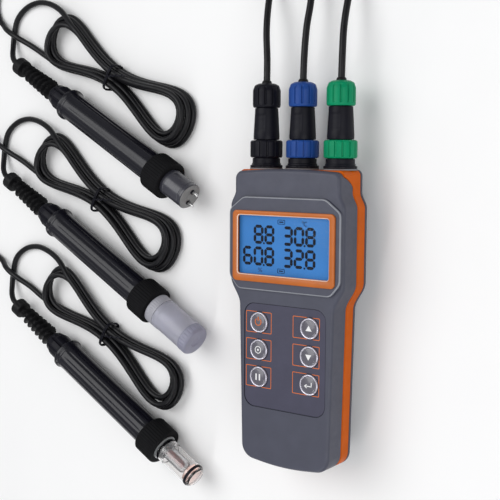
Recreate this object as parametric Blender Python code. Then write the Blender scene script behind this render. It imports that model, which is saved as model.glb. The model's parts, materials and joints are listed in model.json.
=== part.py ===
"""Handheld water quality meter with three probes plugged into its sockets.

Lengths below are in millimetres; MM turns them into Blender's metres.
Frame: +Z out of the meter's face, +Y towards its sockets, +X to the right as it
is read. The origin is the middle of the meter's back, which lies on the table.
"""
import math

import bmesh
import bpy
import numpy as np
from mathutils import Matrix, Vector

MM = 0.001
GAP = 0.3  # left between pieces that touch
SIDES = 16  # of the round pieces on the meter and its plugs
PROBE_SIDES = 18

# Meter case
HALF_LENGTH = 86.6
HALF_GRIP = 32.4  # half width at the upper keys
HALF_GRIP_END = 30.4
HALF_DISPLAY = 39.0  # half width at the display
HALF_HEAD = 35.8  # half width at the sockets
GRIP_TOP = 7.0  # where the grip starts to widen
DISPLAY_LOW = 23.0
DISPLAY_HIGH = 65.0
HEAD_LOW = 74.0
GRIP_CORNER = 9.0
HEAD_CORNER = 3.5
LEAST_CORNER = 2.5  # of the inner and lower outlines
END_BOW = 1.6  # how far the grip's end is bowed out
HEAD_BOW = 1.2  # how far the front shell's corners lie behind the middle of its end
BAND_LOW = 15.2
BAND_HIGH = 23.2
FACE = 38.0  # height of the keypad's face
WALL = 2.6
BACK_WALL = 4.4
BEVEL = ((0, 9.6), (1.2, 8.0), (13.4, 0))  # height and inset up the sides of the back
END_FACE = 86.2  # outside of the band's end panel, which carries the sockets
END_DEPTH = 3.6
END_HIGH = 33.0
END_FOOT = 32.0  # half width of the panel's foot, below the band
END_FOOT_LOW = 13.2
FLARE_LOW = 75.0  # where the band starts to rise to the panel
CEILING = 35.4  # inside of the face
SCREW_R = 1.2
SCREW_HEAD_R = 2.6
SCREW_PLACES = [(-19.5, 13.0), (19.5, 13.0), (-12.7, 69.0), (12.7, 69.0)]
POST_R = SCREW_R + 2

# Display
PLATEAU = 40.0
DISPLAY_Y = 42.9  # centre of the glass
WINDOW = (62.0, 33.9)
BEZEL = (69.6, 41.2)
BEZEL_TOP = 41.2
BEZEL_DROP = 0.8  # the frame is deeper below the glass than above it
LENS = (65.0, 37.0)
LENS_LOW = 39.0
SCREEN = (66.0, 42.0)
SCREEN_LOW = 34.5
SCREEN_HIGH = 37.8
BOARD = (44.0, 134.0)
BOARD_LOW = 28.0
BOARD_HIGH = 29.6

# Keys
KEY_R = 6.2
KEY_X = 17.4
KEY_TOP_Y = -2.4
KEY_PITCH = 16.1
PANEL = (55.6, 61.0)
PANEL_Y = -22.0
PANEL_LOW = FACE - 0.7
PANEL_HIGH = FACE - 0.1
KEY_FLANGE_R = 7.2
KEY_MAT = (50.0, 50.0)
KEYS = ("power", "calibrate", "hold", "up", "down", "enter")

# Battery bay
BAY_Y = -47.0
BAY = (24.0, 46.0)
COVER = (34.0, 54.0)
COVER_RECESS = 2.2
BATTERY_R = 5.25
BATTERY_LENGTH = 44.5

# Sockets and plugs, turned about +Y; places along them count from a little inside the end panel
SOCKET_PITCH = 25.4
SOCKET_Z = 20.5
SOCKET_Y = 85.0
SEAT = HALF_LENGTH - SOCKET_Y
THREAD_R = 5.8
NOSE_R = 7.4
BORE_R = 6.4

# Cords
CORD_D = 4.0
ROUTE_STEP = 11.5  # between points of a cord's tube

# Probes, turned about their own +X; places along them count from the cord's end
PROBE_TURN = math.radians(-29.0)
FLANGE_AT = 59.8
FLANGE_R = 11.3
BARREL_R = 10.0
COLLAR_AT = 152.0
COLLAR_R = 13.0
CLEARANCE = 0.1  # above the table
SENSOR_FOOT = [(120, 0), (120, 7.9), (164.3, 7.9), (164.3, 10.0), (165.3, 10.0)]  # flange under the nut
PROBE_TILT = math.atan((COLLAR_R - FLANGE_R) / (COLLAR_AT - FLANGE_AT))
PROBE_HEIGHT = FLANGE_R + CLEARANCE - FLANGE_AT * math.tan(PROBE_TILT)

# Hanks, beside their probes
HANK_AT = (85.0, 33.0)  # middle, along and across the probe
HANK_HALF = 75.0
HANK_WAIST = 9.0
HANK_BULGE = 38.0
HANK_HEIGHT = 12.0

# Each lead: its socket, counted from the middle, its colour, and where its probe starts
PROBES = {
    "oxygen": {"socket": -1, "shade": "black", "start": (-265.7, 75.0)},
    "conductivity": {"socket": 0, "shade": "blue", "start": (-253.0, 158.0)},
    "ph": {"socket": 1, "shade": "green", "start": (-258.7, -18.9)},
}

# Each cord's way from its plug to the probe it serves, on the table
WAYS = {
    "conductivity": [
        (0, 136.4, 20.5), (0, 150, 19.8), (0, 167, 17.6), (0, 185, 13), (-3.5, 203, 9), (-14, 216, 7.3),
        (-29, 221, 6.9), (-43, 221.5, 6.1), (-58, 221.5, 4), (-76, 221, 2.2), (-96, 220, 2), (-120, 221, 2),
        (-150, 222.5, 2), (-180, 222.5, 2), (-210, 221.5, 2), (-240, 221.5, 2), (-264, 221.8, 2),
        (-281, 216.5, 2), (-286.5, 203.8, 2), (-284.1, 194.8, 2.2),
    ],
    "oxygen": [
        (-25.4, 136.4, 20.5), (-25.8, 150, 19.8), (-28.4, 167, 17), (-31, 184, 11.4), (-32.4, 200, 5.2),
        (-33, 214, 2.1), (-37, 228, 2), (-49, 235.5, 2), (-68, 237, 2), (-95, 235.5, 2),
        (-125, 235.5, 2), (-155, 237, 2), (-185, 237.5, 2), (-215, 236.5, 2), (-245, 236.5, 2),
        (-275, 236.5, 2), (-291, 230, 2), (-299, 216, 2), (-300.5, 198, 2), (-300, 175, 2),
        (-300.5, 150, 2), (-300, 126, 2), (-297, 112.5, 2.2),
    ],
    "ph": [
        (25.4, 136.4, 20.5), (25.3, 150, 19.8), (24.5, 167, 17), (24.2, 185, 11.4), (24.8, 204, 5),
        (24.8, 224, 2.1), (20, 242, 2), (8, 252.5, 2), (-12, 255, 2), (-40, 254, 2), (-70, 253.5, 2),
        (-100, 254, 2), (-130, 255, 2), (-160, 254.5, 2), (-190, 254, 2), (-220, 254, 2),
        (-250, 255, 2), (-282, 255, 2), (-302, 248, 2), (-313, 232, 2), (-315.5, 210, 2),
        (-315.5, 180, 2), (-314.5, 150, 2), (-315, 120, 2), (-316, 90, 2), (-316, 62, 2),
        (-314, 40, 2), (-304, 23.6, 2),
    ],
}
# The end of that way, along and across the probe: over the tail and into the hank
ARRIVAL = [(-36, 15, 3.4), (-29, 15, 6.2), (-22, 15, 6.9), (-14, 15, 5.8), (-3, 15, 3.2), (14.6, 15, 2.2)]
# From the hank round into the probe's strain relief
TAIL = [
    (15.2, 51.2, 6), (2, 49.8, 4.4), (-11, 44.8, 2.6), (-21, 36, 2), (-26, 24.5, 2), (-23.8, 13, 2.1),
    (-18.5, 5.5, 4.2), (-12, 1.2, 7.6), (-6, 0, 9.7), (-0.5, 0, PROBE_HEIGHT),
]

LOOKS = {
    "shell": ((0.092, 0.099, 0.125), 0.55, 0.0),
    "band": ((0.52, 0.11, 0.015), 0.5, 0.0),
    "bezel": ((0.66, 0.17, 0.03), 0.42, 0.0),
    "lens": ((0.55, 0.75, 0.95), 0.05, 0.0),
    "screen": ((0.05, 0.22, 0.58), 0.3, 0.0),
    "board": ((0.02, 0.16, 0.06), 0.5, 0.0),
    "panel": ((0.068, 0.066, 0.092), 0.6, 0.0),
    "key_mat": ((0.2, 0.2, 0.2), 0.8, 0.0),
    "key": ((0.5, 0.5, 0.54), 0.25, 0.4),
    "battery": ((0.25, 0.25, 0.27), 0.35, 0.6),
    "metal": ((0.6, 0.6, 0.6), 0.3, 1.0),
    "black": ((0.012, 0.012, 0.014), 0.45, 0.0),
    "gloss": ((0.014, 0.014, 0.02), 0.16, 0.0),
    "rubber": ((0.01, 0.01, 0.011), 0.7, 0.0),
    "cord": ((0.012, 0.012, 0.013), 0.5, 0.0),
    "blue": ((0.02, 0.06, 0.42), 0.4, 0.0),
    "green": ((0.0, 0.33, 0.13), 0.4, 0.0),
    "tip": ((0.04, 0.04, 0.05), 0.4, 0.0),
    "frosted": ((0.5, 0.5, 0.58), 0.5, 0.0),
    "bottle": ((0.75, 0.68, 0.66), 0.1, 0.0),
    "glass": ((0.7, 0.72, 0.74), 0.05, 0.0),
}


# --- general tools -------------------------------------------------------------


def clear_scene():
    """Start from an empty scene."""
    for old in list(bpy.data.objects):
        bpy.data.objects.remove(old, do_unlink=True)


def make_looks():
    """One Principled material for each entry of LOOKS."""
    made = {}
    for name, (colour, roughness, metallic) in LOOKS.items():
        look = bpy.data.materials.new(name)
        look.use_nodes = True
        shader = look.node_tree.nodes["Principled BSDF"]
        shader.inputs["Base Color"].default_value = (*colour, 1.0)
        shader.inputs["Roughness"].default_value = roughness
        shader.inputs["Metallic"].default_value = metallic
        made[name] = look
    return made


def add_object(name, bm, look, place=None):
    """Make a shaded object from a bmesh drawn in millimetres."""
    bmesh.ops.recalc_face_normals(bm, faces=bm.faces)
    bmesh.ops.scale(bm, vec=(MM, MM, MM), verts=bm.verts)
    mesh = bpy.data.meshes.new(name)
    bm.to_mesh(mesh)
    bm.free()
    mesh.shade_smooth()
    mesh.set_sharp_from_angle(angle=math.radians(40.0))
    mesh.materials.append(look)
    made = bpy.data.objects.new(name, mesh)
    bpy.context.scene.collection.objects.link(made)
    if place is not None:
        made.matrix_world = place
    return made


def boolean(target, bm, operation="DIFFERENCE", place=None):
    """Cut a helper solid from the target, or join it on."""
    helper = add_object(f"{target.name}_{operation.lower()}", bm, bpy.data.materials["metal"], place)
    helper.hide_render = True
    helper.display_type = "WIRE"
    change = target.modifiers.new(helper.name, "BOOLEAN")
    change.operation = operation
    change.solver = "EXACT"
    change.object = helper


def bridge(bm, first, second):
    """Faces between two rings of equal count, or between a ring and a point."""
    count = max(len(first), len(second))
    for k in range(count):
        after = (k + 1) % count
        if len(first) == 1:
            bm.faces.new((first[0], second[k], second[after]))
        elif len(second) == 1:
            bm.faces.new((first[k], second[0], first[after]))
        else:
            bm.faces.new((first[k], second[k], second[after], first[after]))


def add_turned(bm, profile, sides=SIDES, hollow=False, centre=(0.0, 0.0)):
    """A solid turned about +X from (along, radius) points; hollow closes a ring."""
    rings = []
    for along, radius in profile:
        if radius == 0:
            rings.append([bm.verts.new((along, *centre))])
            continue
        ring = []
        for k in range(sides):
            angle = math.tau * (k + 0.5) / sides
            across = centre[0] + radius * math.cos(angle)
            up = centre[1] + radius * math.sin(angle)
            ring.append(bm.verts.new((along, across, up)))
        rings.append(ring)
    for first, second in zip(rings, rings[1:]):
        bridge(bm, first, second)
    if hollow:
        bridge(bm, rings[-1], rings[0])


def turned(profile, sides=SIDES, hollow=False):
    bm = bmesh.new()
    add_turned(bm, profile, sides, hollow)
    return bm


def add_loft(bm, loops):
    """A solid through loops of equal count, closed by a face at each end."""
    rings = [[bm.verts.new(point) for point in loop] for loop in loops]
    for first, second in zip(rings, rings[1:]):
        bridge(bm, first, second)
    bm.faces.new(rings[0])
    bm.faces.new(rings[-1])


def add_prism(bm, outline, low, high):
    add_loft(bm, [[(x, y, z) for x, y in outline] for z in (low, high)])


def inset_outline(points, inset):
    """Move an anticlockwise outline inwards, keeping its sides parallel."""
    moved = []
    count = len(points)
    for k, point in enumerate(points):
        here = Vector(point)
        into = (here - Vector(points[k - 1])).normalized()
        out = (Vector(points[(k + 1) % count]) - here).normalized()
        normals = Vector((-into.y - out.y, into.x + out.x))
        share = 1.0 + into.dot(out)
        moved.append(tuple(here + normals * (inset / share)))
    return moved


def arc(centre, radius, start, end, steps=4):
    """Points from start to end degrees."""
    points = []
    for k in range(steps + 1):
        angle = math.radians(start + (end - start) * k / steps)
        points.append((centre[0] + radius * math.cos(angle), centre[1] + radius * math.sin(angle)))
    return points


def rounded(size, radius, centre=(0.0, 0.0), steps=3):
    """Outline of a rectangle with round corners."""
    reach = (size[0] / 2 - radius, size[1] / 2 - radius)
    points = []
    for quarter, (side_x, side_y) in enumerate(((1, 1), (-1, 1), (-1, -1), (1, -1))):
        corner = (centre[0] + side_x * reach[0], centre[1] + side_y * reach[1])
        points += arc(corner, radius, 90 * quarter, 90 * quarter + 90, steps)
    return points


def smooth_route(points, step):
    """Points a step apart on one smooth curve through the given points."""
    knots = np.array(points, float)
    spans = np.linalg.norm(np.diff(knots, axis=0), axis=1)
    slopes = np.gradient(knots, np.concatenate(([0.0], np.cumsum(spans))), axis=0)
    fine = []
    for k, span in enumerate(spans):
        t = np.linspace(0.0, 1.0, 24, endpoint=k == len(spans) - 1)[:, None]
        fine.append(
            (2 * t**3 - 3 * t**2 + 1) * knots[k]
            + (t**3 - 2 * t**2 + t) * span * slopes[k]
            + (3 * t**2 - 2 * t**3) * knots[k + 1]
            + (t**3 - t**2) * span * slopes[k + 1]
        )
    fine = np.vstack(fine)
    run = np.concatenate(([0.0], np.cumsum(np.linalg.norm(np.diff(fine, axis=0), axis=1))))
    wanted = np.linspace(0.0, run[-1], max(2, round(run[-1] / step) + 1))
    return np.stack([np.interp(wanted, run, fine[:, axis]) for axis in range(3)], axis=1)


# --- the meter -------------------------------------------------------------------


def case_outline(inset=0.0, bow=0.0):
    """Plan of the case, anticlockwise from the middle of the grip's end."""
    end = HALF_LENGTH - inset
    corner = max(GRIP_CORNER - inset, LEAST_CORNER)
    corner_x = HALF_GRIP_END - inset - corner
    side = [(corner_x / 2, -end + END_BOW / 4)]
    side += arc((corner_x, -end + END_BOW + corner), corner, -90, 0)
    for low, high, start, stop in (
        (HALF_GRIP, HALF_DISPLAY, GRIP_TOP, DISPLAY_LOW),
        (HALF_DISPLAY, HALF_HEAD, DISPLAY_HIGH, HEAD_LOW),
    ):
        for k in range(5):
            blend = 0.5 - 0.5 * math.cos(math.pi * k / 4)
            side.append((low + (high - low) * blend - inset, start + (stop - start) * k / 4))
    corner = max(HEAD_CORNER + bow - inset, LEAST_CORNER)
    flat = HALF_HEAD - inset - corner
    side += arc((flat, end - bow - corner), corner, 0, 90, 3)
    side.append((flat / 2, end - bow / 4))
    mirrored = [(-x, y) for x, y in reversed(side)]
    return [(0.0, -end)] + side + [(0.0, end)] + mirrored


def case_loops(levels, bow=0.0):
    """Loops for a loft from (height, inset) pairs."""
    return [[(x, y, z) for x, y in case_outline(inset, bow)] for z, inset in levels]


def along_y(x=0.0, y=SOCKET_Y, z=SOCKET_Z):
    """Place of a piece turned about +X so that it points along +Y."""
    return Matrix.Translation(Vector((x, y, z)) * MM) @ Matrix.Rotation(math.pi / 2, 4, "Z")


def upright(x, y, z):
    """Place of a piece turned about +X so that it points up."""
    return Matrix.Translation(Vector((x, y, z)) * MM) @ Matrix.Rotation(-math.pi / 2, 4, "Y")


def socket_holes(target):
    """Cut the sockets' three holes through the end panel."""
    bm = bmesh.new()
    hole = THREAD_R + GAP
    for probe in PROBES.values():
        across = probe["socket"] * SOCKET_PITCH
        add_turned(bm, [(-12, 0), (-12, hole), (8, hole), (8, 0)], centre=(across, 0))
    boolean(target, bm, place=along_y())


def key_places():
    """Name and place of each key: left column, then right."""
    places = []
    for k, name in enumerate(KEYS):
        x = -KEY_X if k < 3 else KEY_X
        places.append((name, x, KEY_TOP_Y - KEY_PITCH * (k % 3)))
    return places


def add_post(bm, x, y, radius, low, high, sides=SIDES):
    """An upright cylinder."""
    add_prism(bm, arc((x, y), radius, 0, 360 - 360 / sides, sides - 1), low, high)


def plateau_outline(inset=0.0):
    """Octagon of the raised display surround."""
    right = [(31.6, 16.6), (37.9, 24.0), (37.9, 63.2), (28.0, 70.7)]
    return inset_outline(right + [(-x, y) for x, y in reversed(right)], inset)


def cut_prism(target, outline, low, high):
    """Cut a straight pocket of that outline."""
    bm = bmesh.new()
    add_prism(bm, outline, low, high)
    boolean(target, bm)


def cut_posts(target, places, radius, low, high, sides=SIDES):
    """Cut an upright round hole at each place."""
    bm = bmesh.new()
    for x, y in places:
        add_post(bm, x, y, radius, low, high, sides)
    boolean(target, bm)


def build_front_shell(look):
    """Face of the case, cut away at the head for the band's end panel and its flares."""
    bm = bmesh.new()
    low = BAND_HIGH + GAP
    levels = [(CEILING, 4.2), (31.0, WALL), (low, WALL), (low, 0), (35.8, 0), (37.3, 0.6), (FACE, 2.2)]
    add_loft(bm, case_loops(levels, HEAD_BOW))
    shell = add_object("front_shell", bm, look)

    bm = bmesh.new()
    heights = ((33.0, -0.65), (PLATEAU - 0.7, 0.0), (PLATEAU, 0.8))
    add_loft(bm, [[(x, y, z) for x, y in plateau_outline(inset)] for z, inset in heights])
    boolean(shell, bm, "UNION")

    bm = bmesh.new()
    for x, y in SCREW_PLACES:
        add_post(bm, x, y, POST_R, BAND_HIGH + 2, CEILING + 0.8)
    boolean(shell, bm, "UNION")

    room = rounded((2 * HALF_HEAD + 2, 2 * (END_DEPTH + GAP)), 1, (0, END_FACE), 1)
    cut_prism(shell, room, BAND_HIGH - 1, END_HIGH + GAP)
    bm = bmesh.new()
    add_across(bm, flare_profile(GAP, BAND_HIGH - 1), -HALF_DISPLAY, HALF_DISPLAY)
    boolean(shell, bm)
    cut_prism(shell, rounded((SCREEN[0] + 2, SCREEN[1] + 2), 2, (0, DISPLAY_Y)), 31.0, SCREEN_HIGH + GAP)
    cut_prism(shell, rounded((WINDOW[0] + 1, WINDOW[1] + 1), 1.5, (0, DISPLAY_Y)), SCREEN_HIGH, PLATEAU + 2)
    lens_hole = (LENS[0] + 2 * GAP, LENS[1] + 2 * GAP)
    cut_prism(shell, rounded(lens_hole, 1.8, (0, DISPLAY_Y)), LENS_LOW - GAP, PLATEAU + 2)
    pocket = (PANEL[0] + 2 * GAP, PANEL[1] + 2 * GAP)
    cut_prism(shell, rounded(pocket, 7, (0, PANEL_Y)), PANEL_LOW - GAP, FACE + 2)
    cut_posts(shell, [key[1:] for key in key_places()], KEY_R + GAP, CEILING - 2, FACE + 2)
    cut_posts(shell, SCREW_PLACES, SCREW_R + GAP, BAND_HIGH, CEILING - 1.4, 12)


def add_across(bm, profile, start, end):
    """A straight bar along X from (y, z) points."""
    add_loft(bm, [[(x, y, z) for y, z in profile] for x in (start, end)])


def flare_profile(spare, low, steps=6):
    """Side view of the rise from the band to its end panel, as (y, z) points."""
    far = END_FACE - END_DEPTH + 0.2
    top = END_HIGH - 0.2
    points = [(far + 0.4, low), (FLARE_LOW - spare, low)]
    for k in range(steps + 1):
        share = k / steps
        rise = (top - BAND_HIGH) * share**2
        points.append((FLARE_LOW - spare + (far - FLARE_LOW) * share, BAND_HIGH + spare + rise))
    return points + [(far + 0.4, top + spare)]


def build_side_band(look):
    """Band between the shells, with the end panel that carries the sockets."""
    bm = bmesh.new()
    outer = case_loops([(BAND_LOW, 0), (BAND_HIGH, 0)])
    inner = case_loops([(BAND_HIGH, WALL), (BAND_LOW, WALL)])
    rings = [[bm.verts.new(point) for point in loop] for loop in outer + inner]
    for first, second in zip(rings, rings[1:] + rings[:1]):
        bridge(bm, first, second)
    band = add_object("side_band", bm, look)
    cut_prism(band, rounded((2 * HALF_DISPLAY, 10.0), 1, (0, END_FACE + 4.9), 1), 0, FACE)
    panel = bmesh.new()
    right = [(HALF_HEAD, END_FACE - END_DEPTH)]
    right += arc((HALF_HEAD - HEAD_CORNER, END_FACE - HEAD_CORNER), HEAD_CORNER, 0, 90, 3)
    add_prism(panel, right + [(-x, y) for x, y in reversed(right)], BAND_LOW + 0.8, END_HIGH)
    boolean(band, panel, "UNION")
    flares = bmesh.new()
    for start, end in ((-HALF_HEAD, WALL - HALF_HEAD), (HALF_HEAD - WALL, HALF_HEAD)):
        add_across(flares, flare_profile(0, BAND_LOW + 2), start, end)
    boolean(band, flares, "UNION")
    foot = bmesh.new()
    foot_outline = rounded((2 * END_FOOT, END_DEPTH - 0.4), 0.5, (0, END_FACE - END_DEPTH / 2), 1)
    add_prism(foot, foot_outline, END_FOOT_LOW, BAND_HIGH + 1)
    boolean(band, foot, "UNION")
    socket_holes(band)


def build_rear_shell(look):
    bm = bmesh.new()
    high = BAND_LOW - GAP
    slope = BEVEL[1][1] / (BEVEL[2][0] - BEVEL[1][0])
    inner = WALL + slope * (BEVEL[2][0] - BACK_WALL)
    add_loft(bm, case_loops([*BEVEL, (high, 0), (high, WALL), (BACK_WALL, inner)]))
    shell = add_object("rear_shell", bm, look)
    room = rounded((2 * END_FOOT + 2 * GAP, 20.0), 1, (0, HALF_LENGTH), 1)
    cut_prism(shell, room, END_FOOT_LOW - GAP, FACE)

    recess_high = BAY_Y + COVER[1] / 2 + GAP
    recess_low = -HALF_LENGTH - 5
    size = (COVER[0] + 2 * GAP, recess_high - recess_low)
    cut_prism(shell, rounded(size, 1.0, (0, (recess_high + recess_low) / 2)), -1, COVER_RECESS)
    cut_prism(shell, rounded(BAY, 2, (0, BAY_Y)), 1, BACK_WALL + 1)
    cut_posts(shell, SCREW_PLACES, SCREW_R + 0.4, 1, BACK_WALL + 2, 12)
    cut_posts(shell, SCREW_PLACES, SCREW_HEAD_R + 0.4, -1, 3.0, 12)


def build_display(looks):
    low = PLATEAU + GAP
    outer = rounded(BEZEL, 2.5, (0, DISPLAY_Y - BEZEL_DROP))
    inner = rounded(WINDOW, 1.5, (0, DISPLAY_Y))
    bm = bmesh.new()
    loops = []
    steps = ((outer, low, 0), (outer, low + 0.4, 0), (outer, BEZEL_TOP, 0.6), (inner, BEZEL_TOP - 0.1, -0.9))
    for outline, z, inset in steps:
        loops.append([(x, y, z) for x, y in inset_outline(outline, inset)])
    loops.append([(x, y, low) for x, y in inner])
    rings = [[bm.verts.new(point) for point in loop] for loop in loops]
    for first, second in zip(rings, rings[1:] + rings[:1]):
        bridge(bm, first, second)
    add_object("display_bezel", bm, looks["bezel"])

    bm = bmesh.new()
    add_prism(bm, rounded(LENS, 1.5, (0, DISPLAY_Y)), LENS_LOW, PLATEAU)
    add_object("display_window", bm, looks["lens"])

    bm = bmesh.new()
    add_prism(bm, rounded(SCREEN, 1, (0, DISPLAY_Y), 1), SCREEN_LOW, SCREEN_HIGH)
    add_object("lcd_module", bm, looks["screen"])

    bm = bmesh.new()
    add_prism(bm, rounded(BOARD, 2, (0, -4.0), 2), BOARD_LOW, BOARD_HIGH)
    board = add_object("main_board", bm, looks["board"])
    cut_posts(board, SCREW_PLACES[:2], POST_R + GAP, BOARD_LOW - 1, BOARD_HIGH + 1)


def build_keypad(looks):
    bm = bmesh.new()
    add_prism(bm, rounded(PANEL, 6.7, (0, PANEL_Y)), PANEL_LOW, PANEL_HIGH)
    panel = add_object("keypad_panel", bm, looks["panel"])
    cut_posts(panel, [key[1:] for key in key_places()], KEY_R + GAP, FACE - 2, FACE + 2)

    bm = bmesh.new()
    low = BOARD_HIGH + GAP
    add_prism(bm, rounded(KEY_MAT, 3, (0, KEY_TOP_Y - KEY_PITCH), 2), low, low + 2.1)
    add_object("key_mat", bm, looks["key_mat"])

    flange = CEILING - GAP
    low = flange - 1.4
    profile = [(low, 0), (low, KEY_FLANGE_R), (flange, KEY_FLANGE_R), (flange, KEY_R), (FACE + 0.5, KEY_R)]
    profile += [(FACE + 1.0, KEY_R - 0.7), (FACE + 1.1, 0)]
    for name, x, y in key_places():
        bm = turned([(z - low, radius) for z, radius in profile])
        add_object(f"key_{name}", bm, looks["key"], upright(x, y, low))


def build_battery_bay(looks):
    bm = bmesh.new()
    add_prism(bm, rounded(COVER, 1.0, (0, BAY_Y), 2), 0.15, 1.9)
    add_object("battery_cover", bm, looks["shell"])

    pitch = 2 * BATTERY_R + GAP
    end = BATTERY_LENGTH / 2
    profile = [(-end, 0), (-end, BATTERY_R), (end - 1, BATTERY_R), (end - 1, 1.9), (end, 1.9), (end, 0)]
    place = along_y(0, BAY_Y, BACK_WALL + GAP + BATTERY_R)
    wrap = bmesh.new()
    add_prism(wrap, rounded((2 * end - 6, pitch), 1, steps=1), 0, pitch)
    pack = add_object("batteries", wrap, looks["battery"], place)
    cells = bmesh.new()
    for across in (-pitch / 2, pitch / 2):
        for up in (0, pitch):
            add_turned(cells, profile, 12, False, (across, up))
    boolean(pack, cells, "UNION", place)


def build_case_screws(look):
    top = CEILING - 2.4
    profile = [(0.5, 0), (0.5, SCREW_HEAD_R), (2.7, SCREW_HEAD_R), (2.7, SCREW_R), (top, SCREW_R), (top, 0)]
    for k, (x, y) in enumerate(SCREW_PLACES):
        add_object(f"case_screw_{k + 1}", turned(profile, 10), look, upright(x, y, 0))


def build_sockets(looks):
    seat = SEAT + GAP
    profile = [(-9, 0), (-9, THREAD_R), (seat, THREAD_R), (seat, 9.6), (3.5, 9.6)]
    profile += [(3.7, 8.5), (7.6, 8.5), (7.6, NOSE_R), (15.5, NOSE_R), (15.5, BORE_R), (5.5, BORE_R)]
    profile += [(5.5, 0)]
    for name, probe in PROBES.items():
        place = along_y(probe["socket"] * SOCKET_PITCH)
        add_object(f"socket_{name}", turned(profile), looks["black"], place)


# --- plugs, cords and probes -------------------------------------------------------


def build_plug(name, probe, looks):
    """Plug body, with the coupling ring that turns on it and its back nut."""
    place = along_y(probe["socket"] * SOCKET_PITCH)
    shade = looks[probe["shade"]]
    ring = [(7.9, 9.1), (8.4, 9.5), (17.6, 9.5), (18.1, 9.0), (18.1, 6.5), (17.2, 6.5), (17.2, 7.8)]
    ring += [(7.9, 7.8)]
    add_object(f"{name}_coupling_ring", turned(ring, SIDES, True), shade, place)
    body = [(5.8, 0), (5.8, 6.1), (15.9, 6.1), (15.9, 7.2), (16.9, 7.2), (16.9, 6.2), (18.4, 6.2)]
    body += [(18.4, 7.6), (20.4, 7.7), (36.8, 6.8), (36.8, 5.8), (44.5, 5.8), (44.5, 0)]
    add_object(f"{name}_plug_body", turned(body), looks["black"], place)
    nut = [(45.1, 0), (45.1, 6.1), (37.1, 6.1), (37.1, 7.9), (37.9, 8.2), (47.9, 8.2), (50.1, 7.0)]
    nut += [(51.1, 4.6), (51.1, 0)]
    add_object(f"{name}_back_nut", turned(nut), shade, place)


def probe_place(start):
    """Place of a probe whose cord end lies over start."""
    lift = Matrix.Translation(Vector((start[0], start[1], PROBE_HEIGHT)) * MM)
    return lift @ Matrix.Rotation(PROBE_TURN, 4, "Z") @ Matrix.Rotation(-PROBE_TILT, 4, "Y")


def beside_probe(start, points):
    """World points from (along, across, height) ones beside a probe."""
    cos, sin = math.cos(PROBE_TURN), math.sin(PROBE_TURN)
    return [(start[0] + s * cos - n * sin, start[1] + s * sin + n * cos, z) for s, n, z in points]


def build_cord(name, route, looks):
    """One free stretch of a lead's cord, as a tube."""
    points = smooth_route(route, ROUTE_STEP)
    curve = bpy.data.curves.new(name, "CURVE")
    curve.dimensions = "3D"
    curve.bevel_depth = CORD_D / 2 * MM
    curve.bevel_resolution = 2
    curve.use_fill_caps = True
    spline = curve.splines.new("POLY")
    spline.points.add(len(points) - 1)
    for knot, point in zip(spline.points, points):
        knot.co = (*(point * MM), 1.0)
    curve.materials.append(looks["cord"])
    bpy.context.scene.collection.objects.link(bpy.data.objects.new(name, curve))


def build_hank(name, start, looks):
    """Outer shape of the tied hank: two lobes with a pinched waist."""
    outline = []
    for k in range(40):
        t = math.tau * k / 40
        along = HANK_AT[0] + HANK_HALF * math.cos(t)
        across = HANK_AT[1] + math.sin(t) * (HANK_WAIST + HANK_BULGE * math.cos(t) ** 2)
        outline.append((along, across, 0))
    outline = [point[:2] for point in beside_probe(start, outline)]
    bm = bmesh.new()
    add_prism(bm, outline, CLEARANCE, CLEARANCE + HANK_HEIGHT)
    add_object(f"{name}_cord_hank", bm, looks["cord"])


def build_probe_body(name, place, looks):
    """Strain relief, gland nut, barrel and collar nut, the same on each probe."""
    relief = [(0, 0), (0, 6.3), (7, 6.3), (7.4, 3.8)]
    for k in range(6):
        fin = 10.4 + 5.4 * k
        relief += [(fin + 2.0, 6.7), (fin + 4.0, 3.8)]
    relief += [(43.7, 5.2), (43.7, 0)]
    gland = [(44, 0), (44, 6.4), (46, 7.4), (51, 8.7), (58.6, 8.7), (59.5, 8.0), (59.5, 0)]
    barrel = [(FLANGE_AT, 0), (FLANGE_AT, 10.6), (60.6, FLANGE_R), (62.2, FLANGE_R), (62.8, BARREL_R)]
    barrel += [(164.0, BARREL_R), (164.0, 8.4), (70.0, 8.4), (70.0, 0)]
    collar = [(COLLAR_AT, 12.4), (153, COLLAR_R), (167, COLLAR_R), (168, 12.2), (168, 9.3), (165.6, 9.3)]
    collar += [(165.6, BARREL_R + GAP), (COLLAR_AT, BARREL_R + GAP)]
    for part, profile, sides, hollow, look in (
        ("strain_relief", relief, 12, False, "rubber"),
        ("gland_nut", gland, PROBE_SIDES, False, "black"),
        ("barrel", barrel, PROBE_SIDES, False, "gloss"),
        ("collar_nut", collar, PROBE_SIDES, True, "black"),
    ):
        add_object(f"{name}_{part}", turned(profile, sides, hollow), looks[look], place)


def build_conductivity_end(place, looks):
    """The sensor and, on a pale disc in its end, the two electrodes."""
    profile = SENSOR_FOOT + [(165.3, 8.75), (186.0, 8.75), (186.0, 0)]
    add_object("conductivity_sensor", turned(profile, PROBE_SIDES), looks["tip"], place)
    disc = turned([(186.3, 0), (186.3, 8.5), (187.0, 8.1), (187.0, 0)], PROBE_SIDES)
    electrodes = add_object("conductivity_electrodes", disc, looks["metal"], place)
    pin = [(186.6, 0), (186.6, 1), (191.6, 1), (192.2, 0.6), (192.2, 0)]
    pins = bmesh.new()
    for across in (-3.75, 3.75):
        add_turned(pins, pin, 10, False, (across, 0))
    boolean(electrodes, pins, "UNION", place)


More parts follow.
